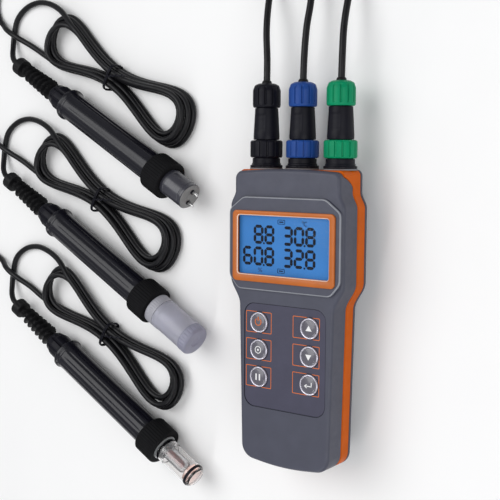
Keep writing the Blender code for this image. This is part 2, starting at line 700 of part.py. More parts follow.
def build_oxygen_end(place, looks):
    sensor = SENSOR_FOOT + [(165.3, 8.9), (168.4, 8.9), (168.4, 10.4), (175, 10.4)]
    sensor += [(175, 8.7), (196, 8.7), (197.4, 7.4), (197.4, 0)]
    add_object("oxygen_sensor", turned(sensor, PROBE_SIDES), looks["tip"], place)
    cap = [(206.0, 0), (206.0, 9.1), (175.3, 9.1), (175.3, 10.4), (206.4, 10.4), (207.4, 9.4), (207.4, 0)]
    add_object("oxygen_cap", turned(cap, PROBE_SIDES), looks["frosted"], place)


def build_ph_end(place, looks):
    sensor = SENSOR_FOOT + [(165.3, 8.9), (168.4, 8.9), (168.4, 6.4), (172, 6.4)]
    sensor += [(172, 4.6), (188, 4.6), (191, 3.2), (192, 0)]
    add_object("ph_sensor", turned(sensor, PROBE_SIDES), looks["glass"], place)
    bottle = [(198.2, 0), (198.2, 6.7), (168.8, 6.7), (168.8, 8.1), (177, 8.1), (178, 7.5), (198.4, 7.5)]
    bottle += [(199.4, 6.7), (199.4, 0)]
    add_object("ph_storage_bottle", turned(bottle, PROBE_SIDES), looks["bottle"], place)


def main():
    clear_scene()
    looks = make_looks()
    build_front_shell(looks["shell"])
    build_side_band(looks["band"])
    build_rear_shell(looks["shell"])
    build_display(looks)
    build_keypad(looks)
    build_battery_bay(looks)
    build_case_screws(looks["metal"])
    build_sockets(looks)
    ends = {"conductivity": build_conductivity_end, "oxygen": build_oxygen_end, "ph": build_ph_end}
    for name, probe in PROBES.items():
        start = probe["start"]
        place = probe_place(start)
        build_plug(name, probe, looks)
        build_cord(f"{name}_cord", WAYS[name] + beside_probe(start, ARRIVAL), looks)
        build_cord(f"{name}_cord_tail", beside_probe(start, TAIL), looks)
        build_hank(name, start, looks)
        build_probe_body(name, place, looks)
        ends[name](place, looks)


main()
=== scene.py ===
"""Looks of the handheld water quality meter and the three probes on their cords.

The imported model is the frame. Each visible piece below stands for one of its
nodes or adds to it, and rides on the body of that node. Shapes are drawn in
millimetres and scaled by MM; the cords' routes are in metres, as the CAD has them.
"""
import json
from math import atan, ceil, copysign, cos, dist, pi, radians, sin, tan, tau

import bmesh
import bpy
import numpy as np
from mathutils import Matrix, Vector


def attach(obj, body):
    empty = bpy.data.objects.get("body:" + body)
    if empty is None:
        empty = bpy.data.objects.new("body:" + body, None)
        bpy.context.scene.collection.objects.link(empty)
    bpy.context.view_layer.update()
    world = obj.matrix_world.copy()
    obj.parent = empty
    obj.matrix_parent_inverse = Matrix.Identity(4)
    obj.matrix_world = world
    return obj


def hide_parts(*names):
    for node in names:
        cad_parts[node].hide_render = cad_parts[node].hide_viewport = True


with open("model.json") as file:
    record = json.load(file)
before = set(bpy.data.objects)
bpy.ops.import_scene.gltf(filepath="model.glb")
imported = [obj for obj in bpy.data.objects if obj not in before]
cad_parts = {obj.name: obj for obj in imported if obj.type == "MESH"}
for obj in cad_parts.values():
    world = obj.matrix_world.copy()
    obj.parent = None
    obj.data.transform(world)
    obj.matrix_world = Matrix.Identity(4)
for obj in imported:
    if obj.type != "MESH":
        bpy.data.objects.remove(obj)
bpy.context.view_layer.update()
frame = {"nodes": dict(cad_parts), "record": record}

MM = 0.001
SCENE = bpy.context.scene
NEARLY_STRAIGHT = radians(172)
NOISE_LOW = 0.3  # between these two lies nearly all of a noise
NOISE_HIGH = 0.7

# Camera and floor
CAMERA_AT = Vector((0.3153, 0.0957, 0.5037))
CAMERA_LOOK = Vector((-0.5864, -0.0972, -0.8042))
CAMERA_UP = Vector((-0.0618, 0.9952, -0.0753))
CAMERA_LENS = 71.66
FLOOR_GAP = 0.0003
LIGHT_AIM = Vector((-0.1, 0.03, 0))

# Meter case, as in the CAD
HALF_LENGTH = 86.6
HALF_GRIP = 32.4
HALF_GRIP_END = 30.4
HALF_DISPLAY = 39
HALF_HEAD = 35.8
GRIP_TOP = 7
DISPLAY_LOW = 23
DISPLAY_HIGH = 65
HEAD_LOW = 74
WAIST_STEPS = 14  # of the curves between two widths of the case
GRIP_CORNER = 9
HEAD_CORNER = 3.5
LEAST_CORNER = 2.5
END_BOW = 1.6
HEAD_BOW = 1.2
BAND_LOW = 15.2
BAND_HIGH = 23.2
PARTING = 0.3
FACE = 38
WALL = 2.6
BACK_WALL = 4.4
END_FACE = 86.2
END_DEPTH = 3.6
END_HIGH = 33
END_FOOT = 32
END_FOOT_LOW = 13.2
FLARE_LOW = 75
CEILING = 35.4
PLATEAU = 40
PLATEAU_FOOT = 33
SHOULDER = 2.2
BEVEL = 0.7
SCREWS = ((-19.5, 13), (19.5, 13), (-12.7, 69), (12.7, 69))

# Display
DISPLAY_Y = 42.9
WINDOW = (62, 33.9)
BEZEL = (69.6, 41.2)
BEZEL_DROP = 0.8
BEZEL_TOP = 41.2
WINDOW_SEAT = (65.6, 37.6)
SCREEN_ROOM = (68, 44)
SCREEN_TOP = 37.8
MARK = (SCREEN_TOP + 0.02, SCREEN_TOP + 0.12)  # under and top of what the screen shows
DIGIT = (6.9, 11)  # width and height
DIGIT_BAR = 1.75  # thickness of a segment
DIGIT_PITCH = 7.6
DIGIT_ENDS = (-10.7, 17.2)  # middle of the last digit in the left and right groups
DIGIT_ROWS = (48.9, 36.3)

# Keys
KEY_R = 6.2
KEY_TOP = 39.1
KEY_X = 17.4
KEY_TOP_Y = -2.4
KEY_PITCH = 16.1
PANEL = (55.6, 61)
PANEL_Y = -22
PANEL_TOP = 37.7
KEYS = ("power", "calibrate", "hold", "up", "down", "enter")  # left column, then right
KEY_PLACES = {
    name: (KEY_X if k > 2 else -KEY_X, KEY_TOP_Y - KEY_PITCH * (k % 3)) for k, name in enumerate(KEYS)
}

# CAD pieces that keep their shapes
PLAIN_NODES = {"display_window": "lens", "main_board": "board", "key_mat": "key_mat", "batteries": "battery"}

# Battery cover and sockets
BAY_Y = -47
BAY = (24, 46)
COVER = (34, 54)
SOCKET_PITCH = 25.4
SOCKET_Z = 20.5
SOCKET_Y = 85
SEAT = HALF_LENGTH - SOCKET_Y
THREAD_R = 5.8

# Cords: diameter, and how far apart the points of their curves are
CORD_D = 0.004
CORD_STEP = 0.0032

# Probes, turned about their own +X
PROBE_TURN = radians(-29)
FLANGE_AT = 59.8
FLANGE_R = 11.3
BARREL_R = 10
COLLAR_AT = 152
COLLAR_R = 13
PROBE_TILT = atan((COLLAR_R - FLANGE_R) / (COLLAR_AT - FLANGE_AT))
PROBE_HEIGHT = FLANGE_R + 0.1 - FLANGE_AT * tan(PROBE_TILT)

# Each lead: its socket, colour, probe's start and the turns of its hank
PROBES = {
    "oxygen": {"socket": -1, "shade": "black", "start": (-0.2657, 0.075), "turns": 5},
    "conductivity": {"socket": 0, "shade": "blue", "start": (-0.253, 0.158), "turns": 5},
    "ph": {"socket": 1, "shade": "green", "start": (-0.2587, -0.0189), "turns": 4},
}


def lying(*points):
    """Points of a cord that lies on the table."""
    return [(x, y, CORD_D / 2) for x, y in points]


# Each cord's way: down from its plug, then mostly lying on the table, to the probe it serves
WAYS = {
    "conductivity": [
        (0, 0.1364, 0.0205), (0, 0.15, 0.0198), (0, 0.167, 0.0176), (0, 0.185, 0.013),
        (-0.0035, 0.203, 0.009), (-0.014, 0.216, 0.0073), (-0.029, 0.221, 0.0069),
        (-0.043, 0.2215, 0.0061), (-0.058, 0.2215, 0.004), (-0.076, 0.221, 0.0022),
        *lying(
            (-0.096, 0.22), (-0.12, 0.221), (-0.15, 0.2225), (-0.18, 0.2225), (-0.21, 0.2215),
            (-0.24, 0.2215), (-0.264, 0.2218), (-0.281, 0.2165), (-0.2865, 0.2038),
        ),
        (-0.2841, 0.1948, 0.0022),
    ],
    "oxygen": [
        (-0.0254, 0.1364, 0.0205), (-0.0258, 0.15, 0.0198), (-0.0284, 0.167, 0.017),
        (-0.031, 0.184, 0.0114), (-0.0324, 0.2, 0.0052), (-0.033, 0.214, 0.0021),
        *lying(
            (-0.037, 0.228), (-0.049, 0.2355), (-0.068, 0.237), (-0.095, 0.2355), (-0.125, 0.2355),
            (-0.155, 0.237), (-0.185, 0.2375), (-0.215, 0.2365), (-0.245, 0.2365), (-0.275, 0.2365),
            (-0.291, 0.23), (-0.299, 0.216), (-0.3005, 0.198), (-0.3, 0.175), (-0.3005, 0.15),
            (-0.3, 0.126),
        ),
        (-0.297, 0.1125, 0.0022),
    ],
    "ph": [
        (0.0254, 0.1364, 0.0205), (0.0253, 0.15, 0.0198), (0.0245, 0.167, 0.017),
        (0.0242, 0.185, 0.0114), (0.0248, 0.204, 0.005), (0.0248, 0.224, 0.0021),
        *lying(
            (0.02, 0.242), (0.008, 0.2525), (-0.012, 0.255), (-0.04, 0.254), (-0.07, 0.2535),
            (-0.1, 0.254), (-0.13, 0.255), (-0.16, 0.2545), (-0.19, 0.254), (-0.22, 0.254),
            (-0.25, 0.255), (-0.282, 0.255), (-0.302, 0.248), (-0.313, 0.232), (-0.3155, 0.21),
            (-0.3155, 0.18), (-0.3145, 0.15), (-0.315, 0.12), (-0.316, 0.09), (-0.316, 0.062),
            (-0.314, 0.04), (-0.304, 0.0236),
        ),
    ],
}
# The end of that way, along and across the probe: over the tail and into the hank
ARRIVAL = [
    (-0.036, 0.015, 0.0034), (-0.029, 0.015, 0.0062), (-0.022, 0.015, 0.0069), (-0.014, 0.015, 0.0058),
    (-0.003, 0.015, 0.0032), (0.0146, 0.015, 0.0022),
]
# From the hank round into the probe's strain relief
TAIL = [
    (0.0152, 0.0512, 0.006), (0.002, 0.0498, 0.0044), (-0.011, 0.0448, 0.0026), (-0.021, 0.036, 0.002),
    (-0.026, 0.0245, 0.002), (-0.0238, 0.013, 0.0021), (-0.0185, 0.0055, 0.0042),
    (-0.012, 0.0012, 0.0076), (-0.006, 0, 0.0097), (-0.0005, 0, PROBE_HEIGHT * MM),
]

# Hanks: middle along and across the probe, heights of the layers of cord, and for each turn
# how far its lobes reach, how wide they are, its place at the waist and its height
HANK_AT = (0.085, 0.033)
LAYERS = (0.0024, 0.0062, 0.01)
HANK_TURNS = (
    {"reach": 0.0728, "lobe": 0.043, "waist": 0.0062, "height": LAYERS[0]},
    {"reach": 0.0672, "lobe": 0.0335, "waist": 0.0021, "height": LAYERS[0]},
    {"reach": 0.0715, "lobe": 0.0405, "waist": 0.006, "height": LAYERS[1]},
    {"reach": 0.064, "lobe": 0.032, "waist": 0.002, "height": LAYERS[1]},
    {"reach": 0.069, "lobe": 0.0375, "waist": 0.004, "height": LAYERS[2]},
)
HANK_POINTS = 40  # in each turn


# Materials


def set_inputs(node, values):
    for name, value in values.items():
        node.inputs[name].default_value = value


def make_look(name, colour, roughness, metallic=0, mottle=0.06, mottle_size=9, uneven=0.06,
              grain=0.02, grain_size=0.5, coat=0, shine=0.5, see_through=0, alpha=1, glow=None,
              stretch=(1, 1, 1)):
    """A procedural finish in the piece's own space; sizes and grain depth in millimetres."""
    look = bpy.data.materials.new(name)
    look.use_nodes = True
    nodes = look.node_tree.nodes
    links = look.node_tree.links
    shader = nodes["Principled BSDF"]
    set_inputs(shader, {
        "Metallic": metallic, "Coat Weight": coat, "Coat Roughness": 0.08, "Alpha": alpha,
        "Transmission Weight": see_through, "Specular IOR Level": shine,
    })
    place = nodes.new("ShaderNodeTexCoord")
    scale = nodes.new("ShaderNodeMapping")
    set_inputs(scale, {"Scale": stretch})
    links.new(place.outputs["Object"], scale.inputs["Vector"])

    def noise(size, detail):
        made = nodes.new("ShaderNodeTexNoise")
        set_inputs(made, {"Scale": 1 / (size * MM), "Detail": detail})
        links.new(scale.outputs["Vector"], made.inputs["Vector"])
        return made.outputs["Fac"]

    ramp = nodes.new("ShaderNodeValToRGB")
    dark, light = ramp.color_ramp.elements
    dark.position = NOISE_LOW
    light.position = NOISE_HIGH
    dark.color = (*[c * (1 - mottle) for c in colour], 1)
    light.color = (*[min(1, c * (1 + mottle)) for c in colour], 1)
    links.new(noise(mottle_size, 4), ramp.inputs["Fac"])
    links.new(ramp.outputs["Color"], shader.inputs["Base Color"])
    if glow:
        links.new(ramp.outputs["Color"], shader.inputs["Emission Color"])
        set_inputs(shader, {"Emission Strength": glow})

    wear = nodes.new("ShaderNodeMapRange")
    set_inputs(wear, {
        "From Min": NOISE_LOW, "From Max": NOISE_HIGH,
        "To Min": max(0.02, roughness - uneven), "To Max": roughness + uneven,
    })
    links.new(noise(mottle_size * 0.4, 6), wear.inputs["Value"])
    links.new(wear.outputs["Result"], shader.inputs["Roughness"])

    bump = nodes.new("ShaderNodeBump")
    set_inputs(bump, {"Distance": grain * MM})
    links.new(noise(grain_size, 3), bump.inputs["Height"])
    links.new(bump.outputs["Normal"], shader.inputs["Normal"])
    return look


# Each look: its name, colour, roughness and whatever differs from the settings above
FINISHES = {
    "shell": ("shell_plastic", (0.055, 0.058, 0.085), 0.5, dict(grain=0.03, grain_size=0.45)),
    # Lighter grey for the strip round the display surround's top edge: a painted highlight.
    "rim": ("rim_plastic", (0.24, 0.25, 0.28), 0.35, {}),
    "band": ("band_plastic", (0.56, 0.1, 0), 0.5, dict(shine=0.12)),
    "bezel": ("bezel_plastic", (0.47, 0.12, 0.014), 0.36, dict(grain=0.015, coat=0.1, shine=0.35)),
    # Pale cream for the bezel's inner slope: a painted highlight, not a colour the bezel has.
    "lip": ("bezel_lip", (0.86, 0.62, 0.5), 0.25, dict(coat=0.4)),
    "lens": ("window_glass", (0.05, 0.06, 0.07), 0.05,
             dict(mottle=0.01, uneven=0.02, grain=0.001, alpha=0.07, shine=0.4)),
    "screen": ("lit_screen", (0.033, 0.168, 0.455), 0.4,
               dict(mottle=0.07, mottle_size=26, glow=0.42, grain=0.004, shine=0.2)),
    "segment": ("screen_segment", (0.002, 0.004, 0.014), 0.5, dict(grain=0.004, shine=0.15)),
    "faint": ("screen_mark", (0.015, 0.06, 0.2), 0.4, dict(grain=0.004)),
    "panel": ("keypad_overlay", (0.046, 0.045, 0.078), 0.55, dict(grain_size=0.3)),
    "line": ("printed_line", (0.62, 0.14, 0.02), 0.5, dict(grain=0.004)),
    "key": ("key_dome", (0.105, 0.1, 0.125), 0.3, dict(coat=0.6, grain=0.01)),
    "key_rim": ("key_rim", (0.62, 0.6, 0.68), 0.28, dict(metallic=0.7, mottle=0.3, mottle_size=3)),
    "white": ("printed_white", (0.8, 0.8, 0.8), 0.5, dict(grain=0.004)),
    "board": ("circuit_board", (0.02, 0.16, 0.06), 0.4, dict(mottle=0.5, mottle_size=2.5)),
    "key_mat": ("key_silicone", (0.22, 0.22, 0.22), 0.75, {}),
    "battery": ("battery_wrap", (0.06, 0.06, 0.07), 0.3, dict(coat=0.5)),
    "metal": ("turned_steel", (0.62, 0.62, 0.62), 0.28, dict(metallic=1, grain=0.004)),
    "gasket": ("pale_gasket", (0.2, 0.2, 0.21), 0.6, {}),
    "black": ("black_plastic", (0.006, 0.006, 0.0105), 0.4, dict(mottle=0.15, shine=0.14)),
    "matte": ("matte_black", (0.0045, 0.0045, 0.0055), 0.7,
              dict(mottle=0.2, grain=0.05, grain_size=0.3, shine=0.12)),
    "gloss": ("barrel_gloss", (0.006, 0.006, 0.011), 0.26,
              dict(mottle=0.15, coat=0.2, shine=0.3, grain_size=1.2, stretch=(0.12, 1, 1))),
    "rubber": ("relief_rubber", (0.005, 0.005, 0.006), 0.5, dict(mottle=0.2, grain=0.03, shine=0.2)),
    "cord": ("cord_jacket", (0.006, 0.006, 0.0075), 0.36,
             dict(mottle=0.2, uneven=0.1, grain=0.03, grain_size=1.2, shine=0.25)),
    "blue": ("blue_plastic", (0.013, 0.058, 0.255), 0.4, dict(mottle=0.08, grain=0.025, shine=0.18)),
    "green": ("green_plastic", (0, 0.245, 0.107), 0.4, dict(mottle=0.08, grain=0.025, shine=0.16)),
    "tip": ("tip_plastic", (0.036, 0.036, 0.048), 0.3, dict(mottle=0.1, coat=0.3)),
    "disc": ("electrode_disc", (0.2, 0.2, 0.2), 0.5, dict(mottle=0.1)),
    "frosted": ("frosted_cap", (0.78, 0.78, 0.88), 0.38, dict(see_through=0.72, mottle=0.05)),
    "cap_end": ("cap_end", (0.36, 0.36, 0.47), 0.42, dict(see_through=0.35, mottle=0.12)),
    "cap_ring": ("cap_ring", (0.34, 0.34, 0.38), 0.4, dict(mottle=0.08)),
    "bottle": ("clear_bottle", (1, 0.985, 0.98), 0.06,
               dict(see_through=1, mottle=0, uneven=0.03, grain=0.004, grain_size=3)),
    "solution": ("storage_solution", (1, 0.7, 0.62), 0.04,
                 dict(see_through=1, mottle=0.05, uneven=0.01, grain=0.001)),
    "electrode": ("glass_stem", (0.75, 0.78, 0.8), 0.06, dict(see_through=0.7, mottle=0.02)),
    "red": ("red_core", (0.62, 0.06, 0.03), 0.4, {}),
}
LOOKS = {key: make_look(*look, **more) for key, (*look, more) in FINISHES.items()}


# Shapes

BODIES = frame["record"]["behaviour"]["bodies"]
BODY_OF = {node: body for body, nodes in BODIES.items() for node in nodes}


def add_object(name, data):
    made = bpy.data.objects.new(name, data)
    SCENE.collection.objects.link(made)
    return made


def add_mesh(name, bm, looks, place=None, crease=32):
    """A shaded mesh object from a bmesh drawn in millimetres."""
    bmesh.ops.recalc_face_normals(bm, faces=bm.faces)
    bmesh.ops.scale(bm, vec=(MM, MM, MM), verts=bm.verts)
    mesh = bpy.data.meshes.new(name)
    bm.to_mesh(mesh)
    bm.free()
    for look in [looks] if isinstance(looks, str) else looks:
        mesh.materials.append(LOOKS[look])
    mesh.shade_smooth()
    mesh.set_sharp_from_angle(angle=radians(crease))
    made = add_object(name, mesh)
    if place is not None:
        made.matrix_world = place
    return made


def belong(made, node, stands_for=True):
    """The piece rides on the node's body, and stands for it or adds to it."""
    if stands_for:
        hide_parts(node)
    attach(made, BODY_OF[node])


def piece(name, bm, look, node, place=None, crease=32):
    """A piece that stands for its node and is finished as drawn."""
    belong(add_mesh(name, bm, look, place, crease), node)


def extra(name, bm, look, node, place=None, crease=32):
    """A piece that adds to its node and is finished as drawn."""
    belong(add_mesh(name, bm, look, place, crease), node, stands_for=False)


def carve(target, bm, operation="DIFFERENCE", place=None):
    """Cut a helper solid from the target, or join it on."""
    helper = add_mesh("helper", bm, [], place)
    change = target.modifiers.new("carve", "BOOLEAN")
    change.operation = operation
    change.solver = "EXACT"
    change.object = helper
    made = bpy.data.meshes.new_from_object(target.evaluated_get(bpy.context.evaluated_depsgraph_get()))
    target.modifiers.clear()
    target.data = made
    bpy.data.objects.remove(helper, do_unlink=True)


def finish_carved(target, node, stands_for=True, crease=32):
    """Shade a carved piece so that its flats stay flat, and give it to its node."""
    target.data.shade_smooth()
    target.data.set_sharp_from_angle(angle=radians(crease))
    even = target.modifiers.new("even", "WEIGHTED_NORMAL")
    even.keep_sharp = True
    belong(target, node, stands_for)


def bridge(bm, first, second):
    """Faces between two rings of equal count, or between a ring and a point."""
    made = []
    count = max(len(first), len(second))
    for k in range(count):
        after = (k + 1) % count
        if len(first) == 1:
            made.append(bm.faces.new((first[0], second[k], second[after])))
        elif len(second) == 1:
            made.append(bm.faces.new((first[k], second[0], first[after])))
        else:
            made.append(bm.faces.new((first[k], second[k], second[after], first[after])))
    return made


def soften(profile, radius, steps=3, hollow=False):
    """Round the inner corners of a profile, and for a hollow one all of them."""
    points = [Vector(point) for point in profile]
    made = []
    count = len(points)
    for k, here in enumerate(points):
        before = points[k - 1] - here
        after = points[(k + 1) % count] - here
        is_end = not hollow and k in (0, count - 1)
        if is_end or before.angle(after) > NEARLY_STRAIGHT:
            made.append(tuple(here))
            continue
        reach = min(radius, before.length * 0.45, after.length * 0.45)
        start = here + before.normalized() * reach
        end = here + after.normalized() * reach
        for j in range(steps + 1):
            t = j / steps
            made.append(tuple(start * (1 - t) ** 2 + here * (2 * t * (1 - t)) + end * t**2))
    return made


def divide(profile, step):
    """More points along the long runs of a profile."""
    made = [profile[0]]
    for first, second in zip(profile, profile[1:]):
        span = dist(first, second)
        parts = max(1, ceil(span / step))
        for k in range(1, parts + 1):
            t = k / parts
            made.append((first[0] + (second[0] - first[0]) * t, first[1] + (second[1] - first[1]) * t))
    return made


def turned(profile, sides, hollow=False, shape=None, centre=(0, 0), bm=None):
    """A solid turned about +X; shape(along, angle) adds to the radius."""
    bm = bm or bmesh.new()
    rings = []
    for along, radius in profile:
        if radius == 0:
            rings.append([bm.verts.new((along, *centre))])
            continue
        ring = []
        for k in range(sides):
            angle = tau * k / sides
            reach = radius + (shape(along, angle) if shape else 0)
            across = centre[0] + reach * cos(angle)
            ring.append(bm.verts.new((along, across, centre[1] + reach * sin(angle))))
        rings.append(ring)
    for first, second in zip(rings, rings[1:]):
        bridge(bm, first, second)
    if hollow:
        bridge(bm, rings[-1], rings[0])
    return bm


def lathe(profile, corner, step=0, sides=64, hollow=False, shape=None):
    """A turned solid with round corners, its long runs divided for the shape to work on."""
    profile = soften(profile, corner, hollow=hollow)
    return turned(divide(profile, step) if step else profile, sides, hollow, shape)


def loft(loops, bm=None, ring=False):
    """A solid through loops of equal count, closed at its ends or back to its first loop."""
    bm = bm or bmesh.new()
    rings = [[bm.verts.new(point) for point in loop] for loop in loops]
    made = [bridge(bm, first, second) for first, second in zip(rings, rings[1:])]
    if ring:
        made.append(bridge(bm, rings[-1], rings[0]))
    else:
        bm.faces.new(rings[0])
        bm.faces.new(rings[-1])
    return bm, made


def level(outline, height, inset=0):
    """The loop of a plan outline at a height, moved inwards by inset."""
    return [(x, y, height) for x, y in (inset_outline(outline, inset) if inset else outline)]


def prism(outline, low, high, bm=None):
    """An upright solid of one outline."""
    return loft([level(outline, low), level(outline, high)], bm)[0]


def frame_ring(bm, outer, inner, low, high):
    """An upright solid between two outlines of equal count."""
    loft([level(outer, low), level(outer, high), level(inner, high), level(inner, low)], bm, ring=True)


def mirrored(points):
    """The same points on the other side, in the opposite order."""
    return [(-x, y) for x, y in reversed(points)]


def inset_outline(points, inset):
    """Move an anticlockwise outline inwards, keeping its sides parallel."""
    moved = []
    count = len(points)
    for k, point in enumerate(points):
        here = Vector(point)
        into = (here - Vector(points[k - 1])).normalized()
        out = (Vector(points[(k + 1) % count]) - here).normalized()
        normals = Vector((-into.y - out.y, into.x + out.x))
        share = 1 + into.dot(out)
        moved.append(tuple(here + normals * (inset / share)))
    return moved


def arc(centre, radius, start, end, steps=10):
    """Points from start to end degrees."""
    points = []
    for k in range(steps + 1):
        angle = radians(start + (end - start) * k / steps)
        points.append((centre[0] + radius * cos(angle), centre[1] + radius * sin(angle)))
    return points


def circle(x, y, radius, sides=48):
    return arc((x, y), radius, 0, 360 - 360 / sides, sides - 1)


def rounded(size, radius, centre=(0, 0), steps=8):
    """Outline of a rectangle with round corners."""
    reach = (size[0] / 2 - radius, size[1] / 2 - radius)
    points = []
    for quarter, (side_x, side_y) in enumerate(((1, 1), (-1, 1), (-1, -1), (1, -1))):
        corner = (centre[0] + side_x * reach[0], centre[1] + side_y * reach[1])
        points += arc(corner, radius, 90 * quarter, 90 * quarter + 90, steps)
    return points


def fillet(outline, low, high, radius, drop=0):
    """Loops of an outline from low to high whose top edge is rounded by radius."""
    loops = [level(outline, low, drop)]
    for k in range(6):
        turn = pi / 2 * k / 5
        height = high - radius + radius * sin(turn)
        loops.append(level(outline, height, radius * (1 - cos(turn))))
    return loops


def pads(count, depth, low, high, fill=0.7, edge=0.1):
    """Grip pads round a nut: grooves of that depth between them from low to high."""
    def shape(along, angle):
        across = abs((angle / tau * count) % 1 - 0.5) * 2
        groove = ease((across - fill) / edge)
        run = ease((along - low) / 0.7) * ease((high - along) / 0.7)
        return -depth * groove * run
    return shape


def ease(t):
    """From 0 to 1 with soft ends as t goes from 0 to 1."""
    t = min(1, max(0, t))
    return t * t * (3 - 2 * t)


def smooth_route(points, step):
    """Points a step apart on one smooth curve through the given points."""
    knots = np.array(points, float)
    spans = np.linalg.norm(np.diff(knots, axis=0), axis=1)
    slopes = np.gradient(knots, np.concatenate(([0], np.cumsum(spans))), axis=0)
    fine = []
    for k, span in enumerate(spans):
        t = np.linspace(0, 1, 24, endpoint=k == len(spans) - 1)[:, None]
        fine.append(
            (2 * t**3 - 3 * t**2 + 1) * knots[k]
            + (t**3 - 2 * t**2 + t) * span * slopes[k]
            + (3 * t**2 - 2 * t**3) * knots[k + 1]
            + (t**3 - t**2) * span * slopes[k + 1]
        )
    fine = np.vstack(fine)
    run = np.concatenate(([0], np.cumsum(np.linalg.norm(np.diff(fine, axis=0), axis=1))))
    wanted = np.linspace(0, run[-1], max(2, round(run[-1] / step) + 1))
    return np.stack([np.interp(wanted, run, fine[:, axis]) for axis in range(3)], axis=1)


def tube(name, points, radius, look, resolution=4):
    """A round wire or cord along the given points, in metres."""
    curve = bpy.data.curves.new(name, "CURVE")
    curve.dimensions = "3D"
    curve.bevel_depth = radius
    curve.bevel_resolution = resolution
    curve.use_fill_caps = True
    spline = curve.splines.new("POLY")
    spline.points.add(len(points) - 1)
    for knot, point in zip(spline.points, points):
        knot.co = (*point, 1)
    spline.use_smooth = True
    curve.materials.append(LOOKS[look])
    return add_object(name, curve)


# Camera, floor and light


def build_camera():
    data = bpy.data.cameras.new("camera")
    data.lens = CAMERA_LENS
    camera = add_object("camera", data)
    back = -CAMERA_LOOK.normalized()
    right = CAMERA_UP.cross(back).normalized()
    up = back.cross(right)
    turn = Matrix((right, up, back)).transposed().to_4x4()
    camera.matrix_world = Matrix.Translation(CAMERA_AT) @ turn
    SCENE.camera = camera


def build_floor():
    LOOKS["floor"] = make_look("pale_floor", (0.9, 0.9, 0.9), 0.6, mottle=0.004, mottle_size=60, grain=0)
    bm = bmesh.new()
    bmesh.ops.create_grid(bm, x_segments=2, y_segments=2, size=3000)
    floor = add_mesh("floor", bm, "floor", Matrix.Translation((0, 0, -FLOOR_GAP)))


def add_light(name, size, power, at):
    """A soft rectangular light that faces the middle of what lies on the floor."""
    data = bpy.data.lights.new(name, "AREA")
    data.shape = "RECTANGLE"
    data.size = size[0]
    data.size_y = size[1]
    data.energy = power
    light = add_object(name, data)
    light.location = at
    light.rotation_euler = (LIGHT_AIM - Vector(at)).to_track_quat("-Z", "Y").to_euler()


def build_light():
    SCENE.view_settings.view_transform = "Standard"
    world = bpy.data.worlds.new("pale_room")
    SCENE.world = world
    world.use_nodes = True
    backdrop = world.node_tree.nodes["Background"]
    set_inputs(backdrop, {"Color": (0.97, 0.98, 1, 1), "Strength": 0.32})
    add_light("key", (1.3, 1.3), 13.5, (-0.55, 0.5, 1.35))
    add_light("fill", (1.2, 0.9), 7, (0.9, -0.2, 0.9))
    add_light("strip", (0.12, 1.2), 3, (-0.2, -0.9, 0.7))


# Cords


def beside_probe(start, points):
    """World points from (along, across, height) ones beside a probe."""
    right, up = cos(PROBE_TURN), sin(PROBE_TURN)
    return [(start[0] + s * right - n * up, start[1] + s * up + n * right, z) for s, n, z in points]


def hank_turns(turns):
    """The folded cord, along and across the probe: round two lobes and through a pinched waist."""
    strands = HANK_TURNS[len(HANK_TURNS) - turns:]

    def value(key, place):
        """What the strands say, changing smoothly from one to the next at the left tip."""
        k = min(turns - 1, max(0, int(place)))
        before, here, after = [strands[min(turns - 1, max(0, j))][key] for j in (k - 1, k, k + 1)]
        share = ease((place - k - 0.86) / 0.28)
        share_before = ease((0.14 - (place - k)) / 0.28)
        return here + (after - here) * share + (before - here) * share_before

    made = []
    first = radians(225)
    last = radians(135) + tau * turns
    count = round((last - first) / tau * HANK_POINTS)
    for k in range(count + 1):
        turn = first + (last - first) * k / count
        place = (turn - pi) / tau
        waist = value("waist", place)
        wide = waist + (value("lobe", place) - waist) * cos(turn) ** 2
        along = HANK_AT[0] + value("reach", place) * cos(turn)
        made.append((along, HANK_AT[1] + wide * sin(turn), layer_height(strands, place, turns)))
    return made


def layer_height(strands, place, turns):
    """Height of the cord at that many turns into the hank."""
    k = min(turns - 1, max(0, int(place)))
    here = strands[k]["height"]
    after = strands[min(k + 1, turns - 1)]["height"]
    return here + (after - here) * ease((place - k - 0.8) / 0.2)


def build_cords():
    for name, probe in PROBES.items():
        start = probe["start"]
        beside = ARRIVAL + hank_turns(probe["turns"]) + TAIL
        route = smooth_route(WAYS[name] + beside_probe(start, beside), CORD_STEP)
        cord = tube(f"{name}_lead_cord", route, CORD_D / 2, "cord")
        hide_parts(f"{name}_cord", f"{name}_cord_tail", f"{name}_cord_hank")
        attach(cord, f"{name}_lead")


def squared(share):
    """A share of a round loop drawn out towards a square's corners."""
    return copysign(abs(share) ** 0.55, share)


def build_hank_ties():
    """A twist tie round the pinched waist of each hank, with its two twisted ends."""
    wire_r = 0.00055
    twist_r = 0.0006
    half_across = 0.009
    low = 0.0006
    high = 0.0128
    middle = (low + high) / 2
    for name, probe in PROBES.items():
        loop = []
        for k in range(100):
            turn = tau * k / 50
            across = squared(cos(turn)) * half_across
            height = squared(sin(turn)) * (high - low) / 2
            loop.append((HANK_AT[0] - 0.0015 + 0.0011 * k / 50, HANK_AT[1] + across, middle + height))
        ends = []
        for k in range(36):
            turn = tau * k / 9
            lift = 0.013 + 0.0024 * sin(pi * min(1, k / 30))
            ends.append((HANK_AT[0] + 0.0004 * k + twist_r * cos(turn),
                         HANK_AT[1] + 0.001 + 0.00022 * k + twist_r * sin(turn), lift))
        for part, path in (("tie", loop), ("tie_end", ends)):
            wire = tube(f"{name}_hank_{part}", beside_probe(probe["start"], path), wire_r, "black", 3)
            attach(wire, f"{name}_lead")


# The meter


